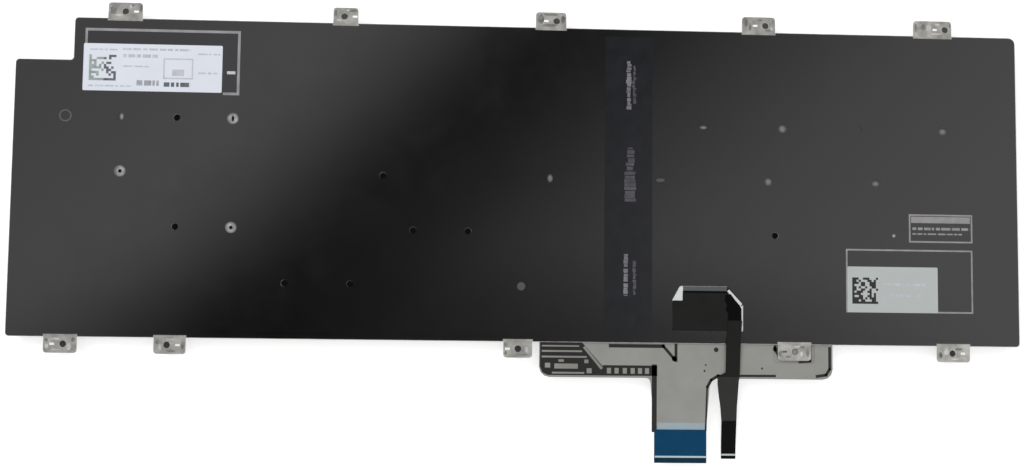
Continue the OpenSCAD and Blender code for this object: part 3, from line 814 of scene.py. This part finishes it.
def ribbon_mesh(name, line, low, high, inset, materials, dark_to=None):
    """A flat ribbon along the line with worn edges. The second material covers it as far as
    dark_to."""
    vertices, faces, places = [], [], []
    for y, drop in line:
        for share in CABLE_SIDES:
            worn = CABLE_EDGE_WORN if abs(share) == 0.5 else 0
            vertices.append(ribbon_point(y, drop, share, high - worn, inset))
        for share in CABLE_SIDES[::-1]:
            vertices.append(ribbon_point(y, drop, share, low, inset))
    ring = 2 * len(CABLE_SIDES)
    for i in range(len(line) - 1):
        for k in range(ring):
            n = (k + 1) % ring
            faces.append((i * ring + k, i * ring + n, (i + 1) * ring + n, (i + 1) * ring + k))
            places.append(int(dark_to is not None and line[i][0] > dark_to))
    last = (len(line) - 1) * ring
    faces += [tuple(range(ring))[::-1], tuple(range(last, last + ring))]
    return mesh_of(name, vertices, faces, materials, places + [0, 0])


class KEYBOARD_OT_backlight_cable(bpy.types.Operator):
    """Lays the backlight cable from the film's window down to the bench, with its contact end"""
    bl_idname = "keyboard.backlight_cable"
    bl_label = "Backlight cable"

    def execute(self, context):
        shades = [bpy.data.materials[name] for name in ("flexible circuit", "dark circuit")]
        line = [tuple(p) for p in smooth_route()]
        top = CABLE_THICKNESS
        cable, end, mark = [
            new_piece(name, ribbon_mesh(name, *shape)) for name, *shape in
            (("cable_ribbon", line, 0.0, top, 0, shades, DARK_TO),
             ("cable_tip", stretch(line, CONTACT_FROM, CABLE_ROUTE[-1][0]), top,
              top + CONTACT_THICKNESS, 0.1, [bpy.data.materials["contact black"]]),
             ("cable_stripe", stretch(line, *STRIPE, 2), top + 0.05, top + 0.1, 0.1,
              [bpy.data.materials["pale contact line"]]))]
        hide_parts("backlight_cable")
        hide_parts("cable_contact_end")
        return {"FINISHED"}


# Finishes of the CAD nodes

class KEYBOARD_OT_materials(bpy.types.Operator):
    """Makes every material and its shared effects"""
    bl_idname = "keyboard.materials"
    bl_label = "Materials"

    def execute(self, context):
        colours = context.scene.keyboard_colours
        colour_drift()
        surface_grain()
        worn_edges()
        make_plastics(colours)
        make_sheets(colours)
        make_inks(colours)
        make_metals(colours)
        return {"FINISHED"}


class KEYBOARD_OT_finishes(bpy.types.Operator):
    """Gives the CAD nodes of the module and the keycaps their materials"""
    bl_idname = "keyboard.finishes"
    bl_label = "Finishes"

    def execute(self, context):
        for name, material in NODE_FINISHES.items():
            paint(name, material)
        for name in [*CAP_LEGENDS, *("key_" + key for key in MOVING_KEYS)]:
            paint(name, "keycap paint")
        return {"FINISHED"}


# Links, domes and wires

CAP_GAP_HALF = 0.9


def key_cell(key):
    """The box of a keycap in plan, with half of the gap to its neighbours."""
    low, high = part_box("key_" + key)
    gap = CAP_GAP_HALF * MM
    return low.x - gap, high.x + gap, low.y - gap, high.y + gap


def inside(cell, place):
    return cell[0] < place.x < cell[1] and cell[2] < place.y < cell[3]


class KEYBOARD_OT_mechanisms(bpy.types.Operator):
    """Parts the links, domes and wires into a piece for each moving key and pieces for the rest"""
    bl_idname = "keyboard.mechanisms"
    bl_label = "Key mechanisms"

    def execute(self, context):
        materials = [bpy.data.materials[m] for m in ("link plastic", "dome rubber", "spring wire")]
        cells = {key: key_cell(key) for key in MOVING_KEYS}
        for key, cell in cells.items():
            name = "mechanism_" + key
            parts = part_of(MECHANISM_NODES, lambda place: inside(cell, place))
            piece = new_piece(name, mesh_of(name, *parts[:2], materials, parts[2]))
            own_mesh(piece)
        for node_name, place in MECHANISM_NODES.items():
            parts = part_of([node_name], lambda at: not any(inside(c, at) for c in cells.values()))
            name = "still_" + node_name
            piece = new_piece(name, mesh_of(name, *parts[:2], [materials[place]]))
            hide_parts(node_name)
        return {"FINISHED"}


# Legends of the keys

SHIFTED = dict(zip("1234567890", "!@#$%^&*()"))
WORDS = {"space": "", "enter": "Enter", "backspace": "Backspace", "left_shift": "Shift",
         "right_shift": "Shift"}
# The legends of each group of fused caps, row by row
CAP_LEGENDS = {
    "function_row_caps": ["Esc", *(f"F{k}" for k in range(1, 13)), "PrtSc", "Home", "End", "Delete"],
    "number_pad_caps": ["Num", *"/*-789+456123", "Enter", "0", "."],
    "other_caps": [*"`-=", "Tab", *"[]\\", "Caps", *";',./", "Ctrl", "Fn", "", "Alt", "Alt", "Ctrl",
                   "PgUp", "^", "PgDn", *"<v>"],
}


def letter_shape(text, size):
    """The flat faces of a text, its middle at the origin: points and faces."""
    curve = bpy.data.curves.new("legend", "FONT")
    curve.body = text
    curve.size = size
    curve.resolution_u = 2
    curve.align_x, curve.align_y = "CENTER", "CENTER"
    holder = bpy.data.objects.new("legend", curve)
    mesh = bpy.data.meshes.new_from_object(holder)
    points = [v.co.copy() for v in mesh.vertices]
    faces = [list(p.vertices) for p in mesh.polygons]
    bpy.data.objects.remove(holder)
    bpy.data.curves.remove(curve)
    bpy.data.meshes.remove(mesh)
    return points, faces


# The size of a key's two signs as a share of a letter's, the places of signs from the cap's middle
# as shares of its width and depth, and the depth in millimetres under which a letter gets smaller
SHIFTED_SIZE = 0.8
SIGN_RIGHT, SIGN_UP = -0.2, 0.14
DIGIT_UP, SHIFTED_UP = -0.19, 0.2
FULL_DEPTH = 12


def legend_parts(text, low, high, sizes, shifted):
    """Each text of a key with its size and its place from the middle of the cap."""
    width, depth = high.x - low.x, high.y - low.y
    if shifted and text in SHIFTED:
        return [(sign, sizes.letter * SHIFTED_SIZE, width * SIGN_RIGHT, depth * up)
                for sign, up in ((text, DIGIT_UP), (SHIFTED[text], SHIFTED_UP))]
    if len(text) == 1:
        small = min(1, depth / (FULL_DEPTH * MM))
        return [(text, sizes.letter * small, width * SIGN_RIGHT * small, depth * SIGN_UP * small)]
    return [(text, sizes.word, 0, 0)] if text else []


def add_legends(name, body, caps, sizes, material, shifted=False):
    """Legends for caps, each a text with the cap's box. They face down, so x runs the other way."""
    vertices, faces = [], []
    for text, (low, high) in caps:
        for words, size, right, up in legend_parts(text, low, high, sizes, shifted):
            points, polygons = letter_shape(words, size)
            start = len(vertices)
            middle = ((low.x + high.x) / 2 - right, (low.y + high.y) / 2 + up)
            vertices += [(middle[0] - p.x, middle[1] + p.y, low.z - sizes.print_height)
                         for p in points]
            faces += [[start + v for v in face] for face in polygons]
    if not faces:
        return
    piece = new_piece(name, mesh_of(name, vertices, faces, [material]), body)


class KEYBOARD_OT_legends(bpy.types.Operator):
    """Puts plain legends on the key tops"""
    bl_idname = "keyboard.legends"
    bl_label = "Legends"

    def execute(self, context):
        sizes = context.scene.keyboard_sizes
        material = bpy.data.materials["clear legend"]
        for key in MOVING_KEYS:
            text = WORDS.get(key, key.upper())
            add_legends("legend_" + key, "cap_" + key, [(text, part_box("key_" + key))], sizes,
                        material, shifted=True)
        for group, texts in CAP_LEGENDS.items():
            boxes = solid_boxes(group)
            if len(boxes) != len(texts):
                raise RuntimeError(f"{group} has {len(boxes)} caps and {len(texts)} legends")
            add_legends("legends_" + group, MODULE, list(zip(texts, boxes)), sizes, material)
        return {"FINISHED"}


# Labels, tape and print on the film

# The bars of the frame round the large label, which covers most of the lower one
LARGE_FRAME = [rectangle(-149.0, 49.4, -96.9, 50.3), rectangle(-149.0, 44.6, -148.2, 49.4),
               rectangle(-97.8, 28.2, -96.9, 49.4), rectangle(-102.4, 28.2, -97.8, 29.1)]


# The rows of small print on the labels: left and right end, middle and height
LABEL_ROWS = [(-136.4, -113.5, 43.3, 0.7), (-136.2, -124.5, 41.0, 1.1), (-111, -103.6, 42.0, 0.5),
              (-136, -127.5, 37.4, 0.5), (-110.8, -103.8, 35.5, 0.6), (-147.6, -133.2, 30.6, 0.5),
              (-147.2, -138, 43.0, 0.5), (124.2, 138.8, -33.0, 0.9), (124.2, 137.6, -36.7, 0.9)]

# The left squares of the large label's code block are printed paler, up to here
PALE_CODE_TO = -143.2


class KEYBOARD_OT_labels(bpy.types.Operator):
    """Prints plain blocks, rows and outlines on the two labels and round them on the film"""
    bl_idname = "keyboard.labels"
    bl_label = "Labels and film print"

    def execute(self, context):
        sizes = context.scene.keyboard_sizes
        line = sizes.outline / MM
        printed("film_outlines", LARGE_FRAME + outline(111.3, -42.7, 155.6, -20.9, line)
                + outline(133.4, -18.4, 155.7, -8.6, line) + [disc(128.1, -16.2, 0.55)],
                FILM_TOP, "pale print")
        printed("frame_shade", [rectangle(-148.2, 44.8, -97.8, 49.4),
                                rectangle(-102.4, 29.1, -97.8, 44.8)],
                FILM_TOP, "frame shade", 0.5)
        printed("film_dash", [rectangle(-101.2, 35.4, -98.4, 36.4)], FILM_TOP, "bright print")
        printed("film_box_print", [rectangle(134.2, -11.6, 154.9, -9.4)]
                + text_row(134.6, 154.6, -13.6, 0.9, 3) + text_row(134.6, 152, -15.4, 0.5, 4),
                FILM_TOP, "pale print")
        pale, grey = [], []
        for square in code_block(-147.4, 32.4, -138.4, 41.2, 11, sizes.seed + 1, 0.34):
            (pale if square[0][0] < PALE_CODE_TO else grey).append(square)
        label_prints = {
            "label_code": (code_block(113.4, -39.7, 122.4, -30.7, 12, sizes.seed), "dark ink"),
            "label_grey_code": (grey + text_row(-122.3, -113.4, 31.4, 1.5, 9), "grey ink"),
            "label_pale_code": (pale, "green ink"),
            "label_box": (outline(-122.6, 33.3, -112.6, 40.4, 0.45)
                          + [rectangle(-119.6, 34.4, -115.6, 36.6)], "faint ink"),
            "label_rows": ([bar for seed, row in enumerate(LABEL_ROWS, 20)
                            for bar in text_row(*row, seed)], "faint ink"),
            "label_marks": (text_row(-131.4, -124, 31.8, 1.8, 12), "soft ink"),
        }
        for name, (shapes, ink) in label_prints.items():
            printed(name, shapes, LABEL_TOP, ink)
        return {"FINISHED"}


# Streaks of the tape: left, right, lower and upper side, and how much each row wanders
BRIGHT_STREAKS = [(35.0, 36.9, 26.0, 42.8, 0.5), (34.4, 36.0, -28.2, -23.8, 0.2),
                  (34.4, 36.0, -33.2, -28.8, 0.2), (34.4, 36.0, -38.0, -33.8, 0.2)]
FAINT_STREAKS = [(37.1, 38.6, 28.0, 41.2, 0.6), (37.4, 38.9, -37.7, -26.1, 0.5),
                 (35.0, 38.2, 4.6, 12.8, 0.9), (34.3, 38.7, -5.8, 4.4, 0.6)]


def ragged(streaks, seed):
    """Rows of small bars that fill each streak with uneven ends and a few gaps."""
    chance = random.Random(seed)
    bars = []
    for left, right, low, high, wander in streaks:
        y = high
        while y > low:
            step = min(chance.uniform(0.35, 1.5), y - low)
            bars.append(rectangle(left + chance.uniform(0, wander), y - step,
                                  right - chance.uniform(0, wander), y))
            y -= step + chance.choice((0, 0.12, 0.3))
    return bars


class KEYBOARD_OT_tape_marks(bpy.types.Operator):
    """Draws the pale scuffed marks that show through the tape"""
    bl_idname = "keyboard.tape_marks"
    bl_label = "Tape marks"

    def execute(self, context):
        printed("tape_marks", ragged(BRIGHT_STREAKS, 11), TAPE_TOP, "scuff print")
        printed("tape_shadows", ragged(FAINT_STREAKS, 12), TAPE_TOP, "dull scuff print")
        return {"FINISHED"}


# Rivets and holes

# Each rivet's place, its look, and the half widths of its painted highlight spot or dark middle
RIVETS = [(-154.7, 20.25, "pale rim"), (-136, 20.25, "bright spot", 0.75, 1.35),
          (-98.8, 20.25, "bright rim", 0.4, 1.0), (61.9, 20.25, "spot", 1.35, 0.65),
          (89.4, 20.25, "spot", 1.45, 1.45), (115.7, 20.25, "plain"), (145.7, 20.25, "spot", 1.4, 1.2),
          (-136, 1.75, "bright rim", 0.6, 0.6), (9.1, 1.75, "spot", 0.95, 1.4),
          (47, 1.75, "faint spot", 1.5, 0.6), (84.4, 1.75, "spot", 1.3, 1.4),
          (121.9, 1.75, "spot", 1.45, 1.05), (-98.5, -16.75, "bright rim", 0.6, 0.6),
          (-0.4, -35.25, "faint spot", 1.4, 1.4)]

# The middles of the plate's piercings, row by row
PIERCINGS = {20.25: (-117.6,), 1.75: (-47.8,), -16.75: (-117.2, -37.3, -18.7, 86.8),
             -35.25: (-80.3, -58.2)}

# Radii of the film's holes round the rivets and the piercings, and the bright share of a painted
# highlight spot
FILM_HOLE = 1.6
PIERCING = 1.12
SPOT_MIDDLE = 0.6

# What is painted there, shade and highlights: its height, its finish and its thickness as a share of
# the usual one
RIVET_PRINTS = {
    "rivet_well_shade": (RIVET_TOP, "black film", 0.5), "rivet_highlight_rims": (RIVET_TOP, "rubbed metal"),
    "rivet_film_highlights": (FILM_TOP, "soft rubbed metal"), "rivet_dim_film_highlights": (FILM_TOP, "dull metal"),
    "rivet_faint_highlight_spots": (RIVET_TOP, "faint rubbed metal"),
    "rivet_highlight_spots": (RIVET_TOP, "soft rubbed metal", 1.5),
    "rivet_bright_highlight_spots": (RIVET_TOP, "rubbed metal", 1.5),
    "rivet_middles": (RIVET_TOP, "hole black", 1.5), "hole_shadows": (PLATE_TOP, "hole black"),
}


class KEYBOARD_OT_rivet_wear(bpy.types.Operator):
    """Paints shade over the rivets and their wells, highlights on some rivets and on the film round
    them, and darkens the piercings
    """
    bl_idname = "keyboard.rivet_wear"
    bl_label = "Rivets and holes"

    def execute(self, context):
        shapes = {name: [] for name in RIVET_PRINTS}
        for x, y, look, *half in RIVETS:
            # Painted shade: a dark disc in the film's colour covers each rivet and its well
            shapes["rivet_well_shade"].append(disc(x, y, FILM_HOLE - 0.02))
            # Painted highlights: a bright ring on the rivet and a ring on the film round its hole
            if look == "bright rim":
                shapes["rivet_highlight_rims"] += ring(x, y, 0.35, FILM_HOLE - 0.03)
                shapes["rivet_film_highlights"] += ring(x, y, FILM_HOLE + 0.02, FILM_HOLE + 0.3)
                shapes["rivet_middles"].append(oval(x, y, *half))
            # A dim painted highlight on the film round the hole
            elif look == "pale rim":
                shapes["rivet_dim_film_highlights"] += ring(x, y, FILM_HOLE + 0.02, FILM_HOLE + 0.5)
            # Painted highlight spots on the rivet, brighter in the middle
            elif look != "plain":
                shapes["rivet_faint_highlight_spots"].append(oval(x, y, *half))
                if look != "faint spot":
                    inner = [SPOT_MIDDLE * h for h in half]
                    name = "rivet_highlight_spots" if look == "spot" else "rivet_bright_highlight_spots"
                    shapes[name].append(oval(x, y, *inner))
        shapes["hole_shadows"] = [disc(x, y, PIERCING) for y, row in PIERCINGS.items() for x in row]
        for name, values in RIVET_PRINTS.items():
            printed(name, shapes[name], *values)
        return {"FINISHED"}


# Stains and rubbed places of the tabs, each with its middle and half widths
TAB_STAINS = [(-140.0, 57.0, 1.3, 1.7), (-130.9, 57.6, 0.5, 1.2), (-133.6, 58.5, 0.8, 0.35),
              (-59.3, 58.4, 1.3, 0.5), (-64.9, 57.4, 0.45, 1.1), (5.3, 57.0, 1.1, 1.9),
              (8.9, 58.6, 2.5, 0.4), (8.7, 54.9, 3.2, 0.6), (13.1, 57.0, 0.8, 1.6),
              (76.9, 57.3, 0.7, 1.7), (78.3, 55.8, 0.5, 1.2), (81.7, 58.4, 0.9, 0.4),
              (84.6, 54.8, 1.3, 0.4), (86.3, 57.9, 0.4, 0.8), (136.8, 56.9, 0.45, 1.6),
              (139.4, 57.2, 0.8, 1.4), (148.9, 57.9, 0.35, 0.7), (-158.4, -55.1, 0.6, 0.7),
              (-149.6, -55.0, 0.6, 0.9), (-121.9, -55.2, 0.7, 0.9), (-113.5, -56.6, 0.5, 1.3),
              (-117.2, -58.4, 1.6, 0.3), (-5.5, -54.9, 0.5, 0.7), (-5.4, -57.9, 0.5, 0.7),
              (0.6, -58.4, 2.2, 0.3), (88.5, -57.0, 0.6, 1.2), (91.3, -58.1, 1.2, 0.35),
              (98.0, -56.6, 0.6, 1.6), (96.2, -54.8, 1.0, 0.4), (144.2, -57.0, 0.8, 1.1),
              (150.6, -54.9, 1.5, 0.5)]
TAB_SHINES = [(-137.9, 55.1, 1.2, 0.5), (-134.3, 58.0, 0.4, 0.7), (-63.8, 55.0, 1.1, 0.45),
              (-60.9, 58.5, 0.6, 0.3), (85.8, 55.3, 0.5, 0.8), (141.4, 56.9, 0.9, 1.4),
              (144.6, 58.2, 1.2, 0.4), (144.0, 54.9, 2.2, 0.4), (-155.4, -54.7, 1.7, 0.4),
              (-154.8, -58.3, 1.9, 0.35), (-150.9, -57.2, 0.7, 1.3), (-158.2, -57.2, 0.6, 0.9),
              (-120.9, -57.3, 0.6, 1.1), (-117.6, -54.6, 1.8, 0.35), (1.7, -56.6, 0.6, 1.1),
              (94.4, -54.6, 1.2, 0.35), (95.9, -57.2, 0.6, 0.9), (146.2, -55.8, 0.7, 1.2),
              (149.2, -58.3, 1.5, 0.3)]


class KEYBOARD_OT_tab_wear(bpy.types.Operator):
    """Stains the bare tabs and rubs them bright in places"""
    bl_idname = "keyboard.tab_wear"
    bl_label = "Tab wear"

    def execute(self, context):
        chance = random.Random(3)
        for name, places, finish, share in (("tab_stains", TAB_STAINS, "tab stain", 0.3),
                                            ("tab_shines", TAB_SHINES, "tab shine", 0.5)):
            printed(name, [blot(*place, chance) for place in places], PLATE_TOP, finish, share)
        return {"FINISHED"}


# Print on the board and the tail

# Dark lands, dark lines with their widths, and pale lands
BOARD_DARK = [
    [(6.3, -54.0), (20.6, -54.0), (27.7, -62.0), (27.7, -65.1), (9.0, -65.1), (7.2, -64.3),
     (6.3, -62.3)],
    rectangle(27.7, -65.1, 46.3, -61.6),
    rectangle(29.7, -55.6, 48.9, -54.4),
]
BOARD_LINES = [
    ([(48.2, -54.8), (52.4, -59.6)], 1.0), ([(52.7, -54.2), (52.7, -59.9)], 1.0),
    ([(67.0, -64.8), (86.8, -64.7)], 0.8), ([(67.2, -64.8), (64.8, -66.3), (63.5, -68.6)], 1.0),
    ([(63.4, -68.6), (62.9, -83.3)], 0.6),
    ([(86.8, -54.6), (86.9, -56.0), (88.4, -58.3)], 0.8),
    ([(98.8, -53.8), (98.8, -59.4), (95.4, -59.8)], 1.1),
    ([(105.7, -55.0), (105.7, -62.2), (104.4, -64.2), (101.2, -64.7)], 1.0),
    ([(45.3, -61.8), (45.3, -83.4)], 1.7),
]
BOARD_LIGHT = [
    rectangle(6.9, -55.5, 19.6, -55.0), rectangle(6.9, -57.3, 20.6, -56.7),
    rectangle(6.9, -59.2, 22.2, -58.6), rectangle(11.2, -62.9, 19.2, -61.2),
    rectangle(10.4, -64.6, 21.4, -64.0), rectangle(8.0, -62.6, 9.8, -61.0),
    rectangle(21.4, -61.0, 22.8, -59.8), rectangle(22.2, -64.4, 23.9, -62.7),
    rectangle(12.6, -60.6, 14.4, -59.8),
]
BOARD_LIGHT += stroke([(21.4, -55.7), (27.2, -62.6)], 0.9)
BAND_SQUARES = [29.8, 32.4, 35.2, 37.9, 40.4, 42.8]
BOARD_DOTS = [(66.5, -56.0, 0.8), (86.8, -55.5, 0.8), (52.1, -59.2, 0.9), (82.3, -62.2, 0.35),
              (62.9, -61.2, 0.3), (62.5, -63.2, 0.35)]
# A thin sheet in the board's colour under the board's cut-out round one tab: painted shade where the
# bench would show through
SHADE_SHEET_THICKNESS = 0.04

# Pale and dark shapes on the reflector in the film's window
WINDOW_SHADE = [[(54.9, -36.0), (54.9, -34.5), (70.2, -34.5), (70.6, -35.2), (70.2, -36.0)]]
WINDOW_SHADOW = [[(70.2, -34.4), (71.6, -34.9), (75.9, -40.0), (75.4, -40.9), (74.6, -41.2),
                  (75.3, -40.3), (70.8, -35.4), (70.0, -36.0)]]

# The black end of the cable where it leaves the diodes
CABLE_ROOT = [[(69.6, -37.2), (71.3, -37.0), (72.7, -38.9), (74.4, -40.8), (75.0, -42.0), (75.0, -46.2),
               (70.2, -46.2), (70.4, -43.6), (69.5, -42.4), (70.0, -40.6), (69.2, -39.2)]]


class KEYBOARD_OT_board_print(bpy.types.Operator):
    """Prints the dark lands and pale traces on the board and the tail"""
    bl_idname = "keyboard.board_print"
    bl_label = "Board print"

    def execute(self, context):
        dark = BOARD_DARK + [bar for points, width in BOARD_LINES for bar in stroke(points, width)]
        dark += [disc(*dot) for dot in BOARD_DOTS]
        squares = [rectangle(x - 0.7, -64.4, x + 0.7, -62.5) for x in BAND_SQUARES]
        for name, *values in (
                ("board_carbon", dark, BOARD_TOP, "carbon print"),
                ("board_silver", BOARD_LIGHT + squares, BOARD_TOP, "silver print", 1.6),
                # Painted shade under the board's cut-out
                ("cutout_backing", [rectangle(85.2, -61.2, 102.6, -53.4)], BOARD_UNDER - 0.05,
                 "printed board", 1, SHADE_SHEET_THICKNESS * MM),
                ("tail_tint", [rectangle(46.4, -83.3, 62.9, -80.8)], BOARD_TOP, "tail tint"),
                ("window_shade", WINDOW_SHADE, REFLECTOR_TOP, "window shade"),
                ("window_shadow", WINDOW_SHADOW, REFLECTOR_TOP, "carbon print"),
                ("window_edge", [rectangle(55.2, -36.7, 70.3, -36.1)] + CABLE_ROOT, STRIP_TOP,
                 "hole black"),
                ("stiffener_foot", [rectangle(45.4, -94.2, 63.0, -92.6)], STIFFENER_TOP,
                 "stiffener foot"),
                ("tail_line", [rectangle(45.5, -92.5, 63.0, -91.9)], STIFFENER_TOP,
                 "pale contact line")):
            printed(name, *values)
        return {"FINISHED"}


class KEYBOARD_PT_panel(bpy.types.Panel):
    bl_idname = "KEYBOARD_PT_panel"
    bl_label = "Notebook keyboard"
    bl_space_type = "VIEW_3D"
    bl_region_type = "UI"
    bl_category = "Keyboard"

    def draw(self, context):
        for group in (context.scene.keyboard_colours, context.scene.keyboard_sizes,
                      context.scene.keyboard_studio):
            box = self.layout.box()
            for name in group.__annotations__:
                box.prop(group, name)
        for operator in OPERATORS:
            self.layout.operator(operator.bl_idname)


OPERATORS = [KEYBOARD_OT_stage, KEYBOARD_OT_materials, KEYBOARD_OT_backlight_cable,
             KEYBOARD_OT_finishes, KEYBOARD_OT_mechanisms, KEYBOARD_OT_legends,
             KEYBOARD_OT_labels, KEYBOARD_OT_tape_marks, KEYBOARD_OT_rivet_wear,
             KEYBOARD_OT_tab_wear, KEYBOARD_OT_board_print]
CLASSES = [KeyboardColours, KeyboardSizes, KeyboardStudio, *OPERATORS, KEYBOARD_PT_panel]


def register():
    for cls in CLASSES:
        bpy.utils.register_class(cls)
    bpy.types.Scene.keyboard_colours = PointerProperty(type=KeyboardColours)
    bpy.types.Scene.keyboard_sizes = PointerProperty(type=KeyboardSizes)
    bpy.types.Scene.keyboard_studio = PointerProperty(type=KeyboardStudio)


def unregister():
    del bpy.types.Scene.keyboard_colours, bpy.types.Scene.keyboard_sizes
    del bpy.types.Scene.keyboard_studio
    for cls in reversed(CLASSES):
        bpy.utils.unregister_class(cls)


def main():
    register()
    bpy.ops.keyboard.stage()
    bpy.ops.keyboard.materials()
    bpy.ops.keyboard.backlight_cable()
    bpy.ops.keyboard.finishes()
    bpy.ops.keyboard.mechanisms()
    bpy.ops.keyboard.legends()
    bpy.ops.keyboard.labels()
    bpy.ops.keyboard.tape_marks()
    bpy.ops.keyboard.rivet_wear()
    bpy.ops.keyboard.tab_wear()
    bpy.ops.keyboard.board_print()


if __name__ == "__main__":
    main()
